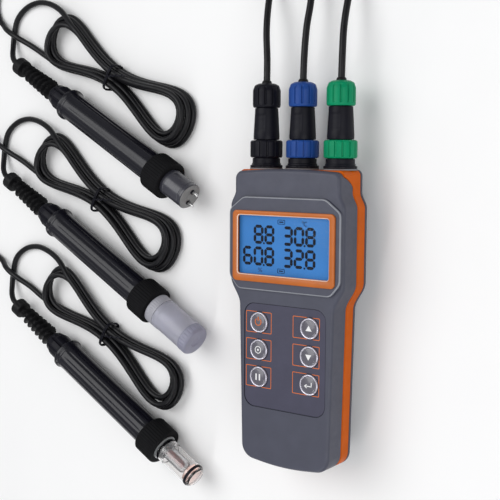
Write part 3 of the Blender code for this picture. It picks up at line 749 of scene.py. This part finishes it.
def case_outline(inset=0, bow=0):
    """Plan of the case, anticlockwise from the middle of the grip's end."""
    end = HALF_LENGTH - inset
    corner = max(GRIP_CORNER - inset, LEAST_CORNER)
    corner_x = HALF_GRIP_END - inset - corner
    side = [(corner_x * k / 5, -end + END_BOW * (k / 5) ** 2) for k in (1, 2, 3, 4)]
    side += arc((corner_x, -end + END_BOW + corner), corner, -84, 0, 12)
    for low, high, start, stop in (
        (HALF_GRIP, HALF_DISPLAY, GRIP_TOP, DISPLAY_LOW),
        (HALF_DISPLAY, HALF_HEAD, DISPLAY_HIGH, HEAD_LOW),
    ):
        for k in range(WAIST_STEPS + 1):
            blend = 0.5 - 0.5 * cos(pi * k / WAIST_STEPS)
            side.append((low + (high - low) * blend - inset, start + (stop - start) * k / WAIST_STEPS))
    corner = max(HEAD_CORNER + bow - inset, LEAST_CORNER)
    flat = HALF_HEAD - inset - corner
    side += arc((flat, end - bow - corner), corner, 0, 90, 9)
    side += [(flat * k / 5, end - bow * (k / 5) ** 2) for k in (4, 3, 2, 1)]
    return [(0, -end)] + side + [(0, end)] + mirrored(side)


def case_loops(levels, bow=0):
    """Loops for a loft from (height, inset) pairs."""
    return [level(case_outline(inset, bow), height) for height, inset in levels]


def round_edge(foot, top, inset, steps=9):
    """(height, inset) pairs from a wall at foot over a rounded edge to top."""
    pairs = []
    for k in range(1, steps + 1):
        turn = pi / 2 * k / steps
        pairs.append((foot + (top - foot) * sin(turn), inset * (1 - cos(turn))))
    return pairs


def round_holes(places, radius, low, high, sides=48):
    """Upright cutters at the given places."""
    bm = bmesh.new()
    for x, y in places:
        prism(circle(x, y, radius, sides), low, high, bm)
    return bm


def key_holes(clearance, low, high):
    return round_holes(KEY_PLACES.values(), KEY_R + clearance, low, high)


def dress(node, look):
    """The CAD's own piece keeps its shape and gets a finish."""
    mesh = frame["nodes"][node].data
    mesh.materials.clear()
    mesh.materials.append(LOOKS[look])


def at_socket(side):
    """Place of a piece turned about +X that points out of a socket: -1 left, 0 middle, 1 right."""
    centre = Vector((side * SOCKET_PITCH, SOCKET_Y, SOCKET_Z)) * MM
    return Matrix.Translation(centre) @ Matrix.Rotation(pi / 2, 4, "Z")


def upright(x, y, z):
    """Place of a piece turned about +X so that it points up."""
    return Matrix.Translation(Vector((x, y, z)) * MM) @ Matrix.Rotation(-pi / 2, 4, "Y")


def plateau_outline():
    """Octagon of the raised display surround."""
    right = [(31.6, 16.6), (37.9, 24), (37.9, 63.2), (28, 70.7)]
    return soften(right + mirrored(right), 2.6, steps=6, hollow=True)


def socket_holes():
    bm = bmesh.new()
    hole = THREAD_R + 0.3
    for side in (-1, 0, 1):
        turned([(-12, 0), (-12, hole), (8, hole), (8, 0)], 40, centre=(side * SOCKET_PITCH, 0), bm=bm)
    return bm


def bar(profile, start, end):
    """A straight bar along X from (y, z) points."""
    return loft([[(x, y, z) for y, z in profile] for x in (start, end)])[0]


def flare_profile(spare, low, steps=16):
    """Side view of the rise from the band to its end panel, as (y, z) points."""
    far = END_FACE - END_DEPTH + 0.2
    top = END_HIGH - 0.2
    points = [(far + 0.4, low), (FLARE_LOW - spare, low)]
    for k in range(steps + 1):
        share = k / steps
        rise = (top - BAND_HIGH) * share**2
        points.append((FLARE_LOW - spare + (far - FLARE_LOW) * share, BAND_HIGH + spare + rise))
    return points + [(far + 0.4, top + spare)]


def build_front_shell():
    """Face half with the raised display surround, and round its top edge a lighter strip that is a painted
    highlight.
    """
    foot = BAND_HIGH + PARTING
    shoulder = FACE - SHOULDER
    levels = [(CEILING, 4.2), (31, WALL), (foot, WALL), (foot, BEVEL), (foot + BEVEL, 0), (shoulder, 0)]
    levels += round_edge(shoulder, FACE, SHOULDER)
    shell = add_mesh("meter_front_shell", loft(case_loops(levels, HEAD_BOW))[0], "shell")
    outline = plateau_outline()
    loops = [level(outline, PLATEAU_FOOT, -0.65)]
    loops += fillet(outline, FACE + 0.7, PLATEAU, 0.8, -0.1)
    carve(shell, loft(loops)[0], "UNION")
    room = rounded((2 * HALF_HEAD + 2, 2 * (END_DEPTH + PARTING)), 1, (0, END_FACE))
    carve(shell, prism(room, BAND_HIGH - 1, END_HIGH + PARTING))
    carve(shell, bar(flare_profile(PARTING, BAND_HIGH - 1), -HALF_DISPLAY, HALF_DISPLAY))
    middle = (0, DISPLAY_Y)
    carve(shell, prism(rounded(SCREEN_ROOM, 2, middle), 31, SCREEN_TOP + PARTING))
    carve(shell, prism(rounded((WINDOW[0] + 1, WINDOW[1] + 1), 1.5, middle), SCREEN_TOP, PLATEAU + 2))
    carve(shell, prism(rounded(WINDOW_SEAT, 1.8, middle), PLATEAU - 1.3, PLATEAU + 2))
    carve(shell, prism(rounded((PANEL[0] + 0.7, PANEL[1] + 0.7), 7, (0, PANEL_Y)), FACE - 1, FACE + 2))
    carve(shell, key_holes(0.3, CEILING - 2, FACE + 2))
    finish_carved(shell, "front_shell")

    # A thin lighter strip along the surround's top edge: a painted highlight, not a separate part.
    edge = [(-0.02, -0.6), (0.2, -0.12), (0.5, 0.06), (0.75, 0.04), (0.8, -0.3), (0.3, -0.8)]
    loops = [level(outline, PLATEAU + rise, inset) for inset, rise in edge]
    extra("meter_display_highlight_rim", loft(loops, ring=True)[0], "rim", "front_shell", crease=60)


def build_side_band():
    """Band between the shells, with the end panel that carries the sockets."""
    edge = 0.5
    sides = [(BAND_LOW, edge), (BAND_LOW + edge, 0), (BAND_HIGH - edge, 0), (BAND_HIGH, edge)]
    outer = case_loops(sides)
    inner = case_loops([(BAND_HIGH, WALL), (BAND_LOW, WALL)])
    band = add_mesh("meter_side_band", loft(outer + inner, ring=True)[0], "band")
    carve(band, prism(rounded((2 * HALF_DISPLAY, 10), 1, (0, END_FACE + 4.9)), 0, FACE))
    right = [(HALF_HEAD, END_FACE - END_DEPTH)]
    right += arc((HALF_HEAD - HEAD_CORNER, END_FACE - HEAD_CORNER), HEAD_CORNER, 0, 90, 9)
    carve(band, loft(fillet(right + mirrored(right), BAND_LOW + 0.8, END_HIGH, 0.5))[0], "UNION")
    for start, end in ((-HALF_HEAD, WALL - HALF_HEAD), (HALF_HEAD - WALL, HALF_HEAD)):
        carve(band, bar(flare_profile(0, BAND_LOW + 2), start, end), "UNION")
    foot = rounded((2 * END_FOOT, END_DEPTH - 0.4), 0.5, (0, END_FACE - END_DEPTH / 2))
    carve(band, prism(foot, END_FOOT_LOW, BAND_HIGH + 1), "UNION")
    carve(band, socket_holes(), place=at_socket(0))
    finish_carved(band, "side_band")


def build_rear_shell():
    """Back half, with the battery bay, the cover's recess and the screws' holes."""
    high = BAND_LOW - PARTING
    levels = [(0, 9.8), (0.4, 8.9), (1.2, 8), (12.9, 0.33), (13.5, 0), (high - 0.25, 0)]
    levels += [(high, 0.25), (high, WALL), (BACK_WALL, 8.5)]
    shell = add_mesh("meter_rear_shell", loft(case_loops(levels))[0], "shell")
    room = rounded((2 * END_FOOT + 2 * PARTING, 20), 1, (0, HALF_LENGTH))
    carve(shell, prism(room, END_FOOT_LOW - PARTING, FACE))
    recess_high = BAY_Y + COVER[1] / 2 + 0.3
    recess_low = -HALF_LENGTH - 5
    size = (COVER[0] + 0.6, recess_high - recess_low)
    carve(shell, prism(rounded(size, 1, (0, (recess_high + recess_low) / 2)), -1, 2.2))
    carve(shell, prism(rounded(BAY, 2, (0, BAY_Y)), 1, BACK_WALL + 1))
    carve(shell, round_holes(SCREWS, 1.6, 1, BACK_WALL + 2, 24))
    carve(shell, round_holes(SCREWS, 3, -1, 3, 32))
    finish_carved(shell, "rear_shell")


def build_battery_cover():
    """Sliding cover with a thumb grip of curved ridges and an arrow."""
    low = 0.15
    high = 1.9
    ridges = 7
    pitch = 2.4
    outline = rounded(COVER, 1, (0, BAY_Y), 5)
    loops = [level(outline, low, 0.4), level(outline, low + 0.4), level(outline, high)]
    cover = add_mesh("meter_battery_cover", loft(loops)[0], "shell")
    bm = bmesh.new()
    for k in range(ridges):
        middle = (0, -26 - pitch * k)
        outer = arc(middle, 26, -112, -68, 12)
        inner = arc(middle, 24.9, -68, -112, 12)
        prism([(x, y + 24) for x, y in outer + inner], -1, low + 0.55, bm)
    prism([(0, -52), (4, -46.5), (-4, -46.5)][::-1], -1, low + 0.5, bm)
    carve(cover, bm)
    finish_carved(cover, "battery_cover", crease=40)


# The faces of this band are coloured pale as a painted highlight.
HIGHLIGHT_BAND = 8  # the bezel's bright band, counted from its outer foot


def build_bezel():
    """Orange frame whose inner slope is coloured pale: a painted highlight."""
    outer = rounded(BEZEL, 2.8, (0, DISPLAY_Y - BEZEL_DROP), 10)
    inner = rounded(WINDOW, 1.5, (0, DISPLAY_Y), 10)
    low = PLATEAU - 0.1
    slope = ((0, -0.8), (0.08, -0.55), (0.5, -0.1), (0.7, 0))
    loops = fillet(outer, low, BEZEL_TOP, 0.6)
    loops += [level(inner, BEZEL_TOP - drop, inset) for drop, inset in slope] + [level(inner, low)]
    bm, bands = loft(loops, ring=True)
    # The inner slope's band takes the pale look: a painted highlight.
    for face in bands[HIGHLIGHT_BAND]:
        face.material_index = 1
    piece("meter_bezel", bm, ["bezel", "lip"], "display_bezel", crease=50)


SEGMENTS = {"0": "abcdef", "2": "abdeg", "3": "abcdg", "6": "acdefg", "8": "abcdefg"}


def add_segment(bm, start, end, thick=DIGIT_BAR):
    """One bar of a digit: a long hexagon from start to end."""
    start = Vector(start)
    end = Vector(end)
    along = (end - start).normalized()
    across = Vector((-along.y, along.x)) * thick / 2
    tip = along * thick / 2
    points = (start, start + tip - across, end - tip - across, end, end - tip + across, start + tip + across)
    prism(points, *MARK, bm)


def add_digit(bm, figure, x, y):
    """A figure of seven segments, each a little short of its neighbours."""
    half = DIGIT[0] / 2 - 0.87
    tall = DIGIT[1] / 2 - 0.87
    gap = 0.2
    ends = {
        "a": ((-half, tall), (half, tall)), "d": ((-half, -tall), (half, -tall)),
        "g": ((-half, 0), (half, 0)), "f": ((-half, 0), (-half, tall)), "b": ((half, 0), (half, tall)),
        "e": ((-half, -tall), (-half, 0)), "c": ((half, -tall), (half, 0)),
    }
    for segment in SEGMENTS[figure]:
        (x0, y0), (x1, y1) = ends[segment]
        shift_x, shift_y = (gap, 0) if y0 == y1 else (0, gap)
        add_segment(bm, (x + x0 + shift_x, y + y0 + shift_y), (x + x1 - shift_x, y + y1 - shift_y))


def add_ring(bm, x, y, radius, thick, levels=MARK, start=0, end=360):
    """An upright flat ring, or part of one from start to end degrees."""
    if end - start < 360:
        outline = arc((x, y), radius, start, end, 20) + arc((x, y), radius - thick, end, start, 20)
        prism(outline, *levels, bm)
        return
    frame_ring(bm, circle(x, y, radius, 40), circle(x, y, radius - thick, 40), *levels)


def build_screen():
    """The lit screen's own node, with its digits and plain marks."""
    dress("lcd_module", "screen")
    bm = bmesh.new()
    for row, groups in zip(DIGIT_ROWS, (("88", "308"), ("608", "328"))):
        for figures, last in zip(groups, DIGIT_ENDS):
            for k, figure in enumerate(reversed(figures)):
                add_digit(bm, figure, last - DIGIT_PITCH * k, row)
            dot = (last - DIGIT_PITCH / 2, row - DIGIT[1] / 2 + 0.5)
            prism(rounded((1.1, 1.1), 0.3, dot, 3), *MARK, bm)
    extra("screen_digits", bm, "segment", "lcd_module")
    bm = bmesh.new()
    add_ring(bm, 12, 57.2, 0.55, 0.28)
    add_ring(bm, 14, 56.2, 1.35, 0.42, start=50, end=310)
    for at in ((-2.5, 56.6), (-2.5, 28.6)):
        frame_ring(bm, rounded((5, 2.6), 0.5, at, 3), rounded((4.4, 2), 0.3, at, 3), *MARK)
        prism(rounded((2.8, 0.7), 0.2, at, 3), *MARK, bm)
    extra("screen_marks", bm, "segment", "lcd_module")
    bm = bmesh.new()
    for x, y in ((-18, 28.9), (-16.2, 27.7)):
        add_ring(bm, x, y, 0.6, 0.3)
    add_segment(bm, (-18.2, 27), (-16, 29.6), 0.35)
    extra("screen_percent", bm, "faint", "lcd_module")


def build_keypad():
    """The overlay, and an outline printed round each key with room for its label."""
    outline = rounded(PANEL, 6.7, (0, PANEL_Y), 12)
    panel = add_mesh("meter_keypad_panel", loft(fillet(outline, FACE - 0.9, PANEL_TOP, 0.2))[0], "panel")
    carve(panel, key_holes(0.25, FACE - 2, FACE + 2))
    finish_carved(panel, "keypad_panel")

    lines = bmesh.new()
    for x, y in KEY_PLACES.values():
        middle = (x - 0.45 if x < 0 else x - 2.45, y)
        outer = rounded((18.1, 12.6), 0.6, middle, 4)
        inner = rounded((17.3, 11.8), 0.4, middle, 4)
        frame_ring(lines, outer, inner, PANEL_TOP - 0.1, PANEL_TOP + 0.05)
    frames = add_mesh("keypad_outlines", lines, "line")
    carve(frames, key_holes(0.25, FACE - 2, FACE + 2))
    finish_carved(frames, "keypad_panel", stands_for=False)


def key_symbol(name, x, y):
    """A plain symbol for each key, standing a hair above its dome."""
    levels = (KEY_TOP - 0.35, KEY_TOP - 0.02)
    bm = bmesh.new()
    if name == "power":
        add_ring(bm, x, y + 0.4, 2.3, 0.5, levels, 125, 415)
        prism(rounded((0.55, 2.6), 0.2, (x, y + 2.1), 3), *levels, bm)
    elif name in ("up", "down"):
        tip = 1.9 if name == "up" else -1.9
        points = [(x, y + tip), (x - 2, y - tip * 0.7), (x + 2, y - tip * 0.7)]
        prism(points if name == "up" else points[::-1], *levels, bm)
    elif name == "calibrate":
        add_ring(bm, x, y, 2.2, 0.45, levels)
        prism(circle(x, y, 0.7, 24), *levels, bm)
    elif name == "hold":
        for side in (-1, 1):
            prism(rounded((0.9, 3.8), 0.25, (x + side * 1.2, y), 3), *levels, bm)
    else:
        add_bar(bm, (x + 2.2, y + 1.7), (x + 2.2, y - 0.6), 0.55, levels)
        add_bar(bm, (x + 2.4, y - 0.6), (x - 1.4, y - 0.6), 0.55, levels)
        prism([(x - 2.6, y - 0.6), (x - 0.9, y - 1.9), (x - 0.9, y + 0.7)], *levels, bm)
    return bm


def add_bar(bm, start, end, thick, levels):
    """A straight bar from start to end."""
    start = Vector(start)
    end = Vector(end)
    along = (end - start).normalized()
    across = Vector((-along.y, along.x)) * thick / 2
    prism((start - across, end - across, end + across, start + across), *levels, bm)


def build_keys():
    """Each key: a dark dome in a bright ring, with a plain symbol."""
    low = CEILING - 1.7
    tall = KEY_TOP - low
    dome = [(0, 0), (0, 7.2), (1.4, 7.2), (1.4, KEY_R), (tall - 0.9, KEY_R), (tall - 0.55, KEY_R - 0.3)]
    dome += [(tall - 0.4, KEY_R - 0.7), (tall - 0.75, KEY_R - 1.3), (tall - 0.5, KEY_R - 2)]
    dome += [(tall - 0.2, 2.2), (tall - 0.12, 0)]
    rim = [(tall - 0.95, KEY_R - 0.02), (tall - 0.42, KEY_R - 0.18), (tall - 0.12, KEY_R - 0.55)]
    rim += [(tall - 0.25, KEY_R - 1.15), (tall - 0.95, KEY_R - 1.2)]
    for name, (x, y) in KEY_PLACES.items():
        node = f"key_{name}"
        place = upright(x, y, low)
        piece(f"{node}_dome", lathe(dome, 0.25), "key", node, place)
        extra(f"{node}_ring", lathe(rim, 0.3, hollow=True), "key_rim", node, place)
        look = "line" if name == "power" else "white"
        extra(f"{node}_symbol", key_symbol(name, x, y), look, node)


def build_screws():
    """Pan heads with a cross recess, seen from the back."""
    top = CEILING - 2.4
    profile = [(0.5, 0), (0.5, 2.6), (2.7, 2.6), (2.7, 1.2), (top, 1.2), (top, 0)]
    for k, (x, y) in enumerate(SCREWS):
        screw = add_mesh(f"meter_screw_{k + 1}", lathe(profile, 0.3, sides=32), "metal", upright(x, y, 0))
        for size in ((0.7, 3.2), (3.2, 0.7)):
            arm = bmesh.new()
            prism(rounded(size, 0.2, (x, y), 3), 0, 1.5, arm)
            carve(screw, arm)
        finish_carved(screw, f"case_screw_{k + 1}")


def build_sockets():
    """Threaded sockets with a knurled flange, each on a pale washer."""
    seat = SEAT + 0.35
    profile = [(-9, 0), (-9, THREAD_R), (seat, THREAD_R), (seat, 9.3), (seat + 0.3, 9.6), (3.5, 9.6)]
    profile += [(3.7, 8.6), (4.6, 8.6), (4.8, 8.2), (7.6, 8.2), (7.6, 7.4), (15.5, 7.4), (15.5, 6.4)]
    profile += [(5.5, 6.4), (5.5, 0)]
    washer = [(SEAT - 0.42, 6.3), (SEAT - 0.42, 9.7), (seat + 0.05, 9.7), (seat + 0.05, 6.3)]
    for name, probe in PROBES.items():
        place = at_socket(probe["socket"])
        node = f"socket_{name}"
        bm = lathe(profile, 0.25, 1.2, 120, shape=pads(10, 0.35, seat, 3.6, 0.78, 0.12))
        piece(f"{node}_body", bm, "black", node, place)
        extra(f"{node}_washer", lathe(washer, 0.1, hollow=True), "gasket", node, place)


# Plugs and probes


def build_plug(name, probe):
    """Plug body with side grips, the coupling ring that turns on it, and its back nut."""
    place = at_socket(probe["socket"])
    shade = probe["shade"]
    ring = [(7.9, 8.9), (8.6, 9.5), (17.3, 9.5), (18.1, 8.7), (18.1, 6.5), (17.2, 6.5), (17.2, 7.8)]
    ring.append((7.9, 7.8))
    bm = lathe(ring, 0.45, 0.8, 168, hollow=True, shape=pads(14, 0.65, 8.3, 17.8, 0.72, 0.1))
    piece(f"{name}_ring", bm, shade, f"{name}_coupling_ring", place)

    body = [(5.8, 0), (5.8, 6.1), (15.9, 6.1), (15.9, 7.2), (16.9, 7.2), (16.9, 6.2), (18.4, 6.2)]
    body += [(18.4, 7.6), (20.4, 7.7), (36.8, 6.8), (36.8, 5.8), (44.5, 5.8), (44.5, 0)]

    def grip(along, angle):
        """A shallow flat with fine ridges on the upper and lower side."""
        turn = abs((angle / pi) % 1 - 0.5)
        side = ease((0.17 - turn) / 0.05)
        run = ease(along - 22.5) * ease(33.5 - along)
        ridge = 0.05 * (0.5 + 0.5 * cos(tau * (along - 22.5) / 2.75))
        return -(0.26 - ridge) * side * run

    bm = lathe(body, 0.3, 0.7, 96, shape=grip)
    piece(f"{name}_plug", bm, "black", f"{name}_plug_body", place)

    nut = [(45.1, 0), (45.1, 6.1), (37.1, 6.1), (37.1, 7.7), (38.1, 8.2), (47.1, 8.2), (49.9, 7.2)]
    nut += [(51.1, 5), (51.1, 2.6), (50.1, 2.6), (50.1, 0)]
    bm = lathe(nut, 0.6, 0.7, 144, shape=pads(12, 0.7, 38.7, 49.1, 0.74, 0.1))
    piece(f"{name}_nut", bm, shade, f"{name}_back_nut", place)
    boot = lathe([(49.4, 0), (49.4, 3.1), (51.9, 2.9), (52.9, 2.35), (52.9, 0)], 0.3, sides=40)
    extra(f"{name}_grommet", boot, "rubber", f"{name}_back_nut", place)


def probe_place(start):
    """Place of a probe whose cord end lies over start."""
    lift = Matrix.Translation((start[0], start[1], PROBE_HEIGHT * MM))
    return lift @ Matrix.Rotation(PROBE_TURN, 4, "Z") @ Matrix.Rotation(-PROBE_TILT, 4, "Y")


def build_strain_relief(name, place):
    """A collar, then one helical fin down to a tapered neck."""
    pitch = 4.9
    profile = [(0, 0), (0, 6.3), (7, 6.3), (7.6, 2.7), (43.7, 3.7), (43.7, 0)]

    def fin(along, angle):
        turn = (along / pitch + angle / tau) % 1
        ridge = max(0, 1 - abs(turn - 0.5) / 0.2) ** 0.7
        run = ease((along - 9) / 3) * ease((42.6 - along) / 2.5)
        ribs = -0.5 * ease((abs((angle / tau * 8) % 1 - 0.5) - 0.38) / 0.1)
        collar = ease((along - 1) / 0.6) * ease((6.4 - along) / 0.6)
        return (2.9 + along / 45) * ridge * run + ribs * collar

    bm = lathe(profile, 0.5, 0.3, 48, shape=fin)
    piece(f"{name}_relief", bm, "rubber", f"{name}_strain_relief", place, crease=60)


def build_probe_body(name, place):
    """Strain relief, gland nut, barrel and collar nut, the same on each probe."""
    build_strain_relief(name, place)
    gland = [(44, 0), (44, 6), (45.5, 7.2), (49, 8.1), (50.5, 8.7), (58.4, 8.7), (59.5, 8), (59.5, 0)]
    bm = lathe(gland, 0.5, 0.6, 120, shape=pads(8, 0.9, 46.5, 59, 0.66, 0.16))
    piece(f"{name}_gland", bm, "black", f"{name}_gland_nut", place)

    barrel = [(FLANGE_AT, 0), (FLANGE_AT, 10.5), (60.5, FLANGE_R), (62.2, FLANGE_R), (63, 10.3)]
    barrel += [(64.4, 10.3), (64.8, BARREL_R), (164, BARREL_R), (164, 8.4), (70, 8.4), (70, 0)]

    def flats(along, angle):
        """Long shallow flats that the mould leaves along the tube."""
        run = ease((along - 66) / 3) * ease((151 - along) / 3)
        return -0.3 * run * (0.5 - 0.5 * cos(angle * 12)) ** 3

    bm = lathe(barrel, 0.3, 3, 144, shape=flats)
    piece(f"{name}_tube", bm, "gloss", f"{name}_barrel", place)

    collar = [(COLLAR_AT, 12.2), (153, COLLAR_R), (167, COLLAR_R), (168, 12.1), (168, 9.3)]
    collar += [(165.6, 9.3), (165.6, 10.3), (COLLAR_AT, 10.3)]
    bm = lathe(collar, 0.5, 0.8, 240, hollow=True, shape=pads(40, 0.35, 153, 167.4, 0.55, 0.25))
    piece(f"{name}_collar", bm, "matte", f"{name}_collar_nut", place)


ELECTRODE_OUT = 3.75  # from the probe's axis
SENSOR_FOOT = [(120, 0), (120, 7.9), (164.3, 7.9), (164.3, 10), (165.3, 10)]


def build_conductivity_end(place):
    """The sensor and, on a pale disc in its end, the two electrodes."""
    profile = SENSOR_FOOT + [(165.3, 9), (170, 9), (170.3, 8.75), (183.2, 8.75), (183.5, 8.45)]
    profile += [(184.2, 8.45), (184.5, 8.75), (186.3, 8.75), (186.3, 0)]
    piece("conductivity_tip", lathe(profile, 0.25, sides=72), "tip", "conductivity_sensor", place)
    node = "conductivity_electrodes"
    disc = [(186.3, 0), (186.3, 8.3), (187, 8.1), (187, 3), (187.3, 2.6), (187.3, 0)]
    piece("conductivity_disc", lathe(disc, 0.2), "disc", node, place)
    pin = [(186.6, 0), (186.6, 1), (191.6, 1), (192.2, 0.5), (192.2, 0)]
    seat = [(186.8, 0), (186.8, 1.7), (187.8, 1.5), (187.8, 0)]
    for part, profile, look in (("pins", pin, "metal"), ("pin_seats", seat, "black")):
        bm = bmesh.new()
        for side in (-ELECTRODE_OUT, ELECTRODE_OUT):
            turned(soften(profile, 0.2), 32, centre=(side, 0), bm=bm)
        extra(f"conductivity_{part}", bm, look, node, place)


def build_oxygen_end(place):
    """Sensor with a grey ring, and the frosted cap that keeps its membrane wet."""
    sensor = SENSOR_FOOT + [(165.3, 8.9), (168.4, 8.9), (168.4, 10.4), (175, 10.4), (175, 8.7), (196, 8.7)]
    sensor += [(197.4, 7.4), (197.4, 0)]
    bm = lathe(sensor, 0.3, 1, 144, shape=pads(36, 0.25, 168.6, 174.8, 0.55, 0.3))
    piece("oxygen_tip", bm, "cap_ring", "oxygen_sensor", place)
    cap = [(200.4, 0), (200.4, 9.2), (175.3, 9.2), (175.3, 10.4), (178.6, 10.4), (179, 10.1)]
    cap += [(200.8, 10.1), (200.8, 0)]
    piece("oxygen_cap_body", lathe(cap, 0.3, sides=96), "frosted", "oxygen_cap", place)
    end = [(200.6, 0), (200.6, 10.1), (201, 10.4), (206, 10.4), (207.4, 9.2), (207.4, 4), (206.6, 3.2)]
    end += [(206.6, 0)]
    bm = lathe(end, 0.5, 0.8, 144, shape=pads(24, 0.3, 201.2, 206.4, 0.6, 0.25))
    extra("oxygen_cap_end", bm, "cap_end", "oxygen_cap", place)


def build_ph_end(place):
    """Glass electrode in a clear bottle of storage solution."""
    sensor = SENSOR_FOOT + [(165.3, 8.9), (168.4, 8.9), (168.4, 6.4), (172, 6.4), (172, 4.6), (186.5, 4.6)]
    sensor += [(188.5, 4.4), (190.4, 3.4), (191.5, 1.9), (192, 0)]
    piece("ph_stem", lathe(sensor, 0.3), "electrode", "ph_sensor", place)
    core = [(171.8, 0), (171.8, 1.5), (186, 1.5), (187.6, 0.8), (187.6, 0)]
    extra("ph_stem_core", lathe(core, 0.3, sides=32), "red", "ph_sensor", place)
    ring = lathe([(169, 6), (169, 7.2), (170.6, 7.2), (170.6, 6)], 0.4, sides=48, hollow=True)
    extra("ph_seal", ring, "black", "ph_sensor", place)
    bottle = [(198, 0), (198, 6.7), (168.8, 6.9), (168.8, 8.1), (174.5, 8.1), (175.2, 7.5), (198, 7.5)]
    bottle += [(199.4, 6.3), (199.4, 0)]
    node = "ph_storage_bottle"
    piece("ph_bottle", lathe(bottle, 0.35, sides=96), "bottle", node, place)
    solution = [(197.6, 0), (197.6, 6.4), (193, 6.4), (193, 0)]
    extra("ph_solution", lathe(solution, 0.3), "solution", node, place)
    band = [(195.2, 7.4), (195.2, 7.9), (197.2, 7.9), (197.2, 7.4)]
    extra("ph_bottle_band", lathe(band, 0.2, hollow=True), "black", node, place)


def main():
    for build in (build_camera, build_floor, build_light, build_cords, build_hank_ties,
                  build_front_shell, build_side_band, build_rear_shell, build_battery_cover, build_bezel,
                  build_screen, build_keypad, build_keys, build_screws, build_sockets):
        build()
    for node, look in PLAIN_NODES.items():
        dress(node, look)
    ends = {"conductivity": build_conductivity_end, "oxygen": build_oxygen_end, "ph": build_ph_end}
    for name, probe in PROBES.items():
        place = probe_place(probe["start"])
        build_plug(name, probe)
        build_probe_body(name, place)
        ends[name](place)


main()
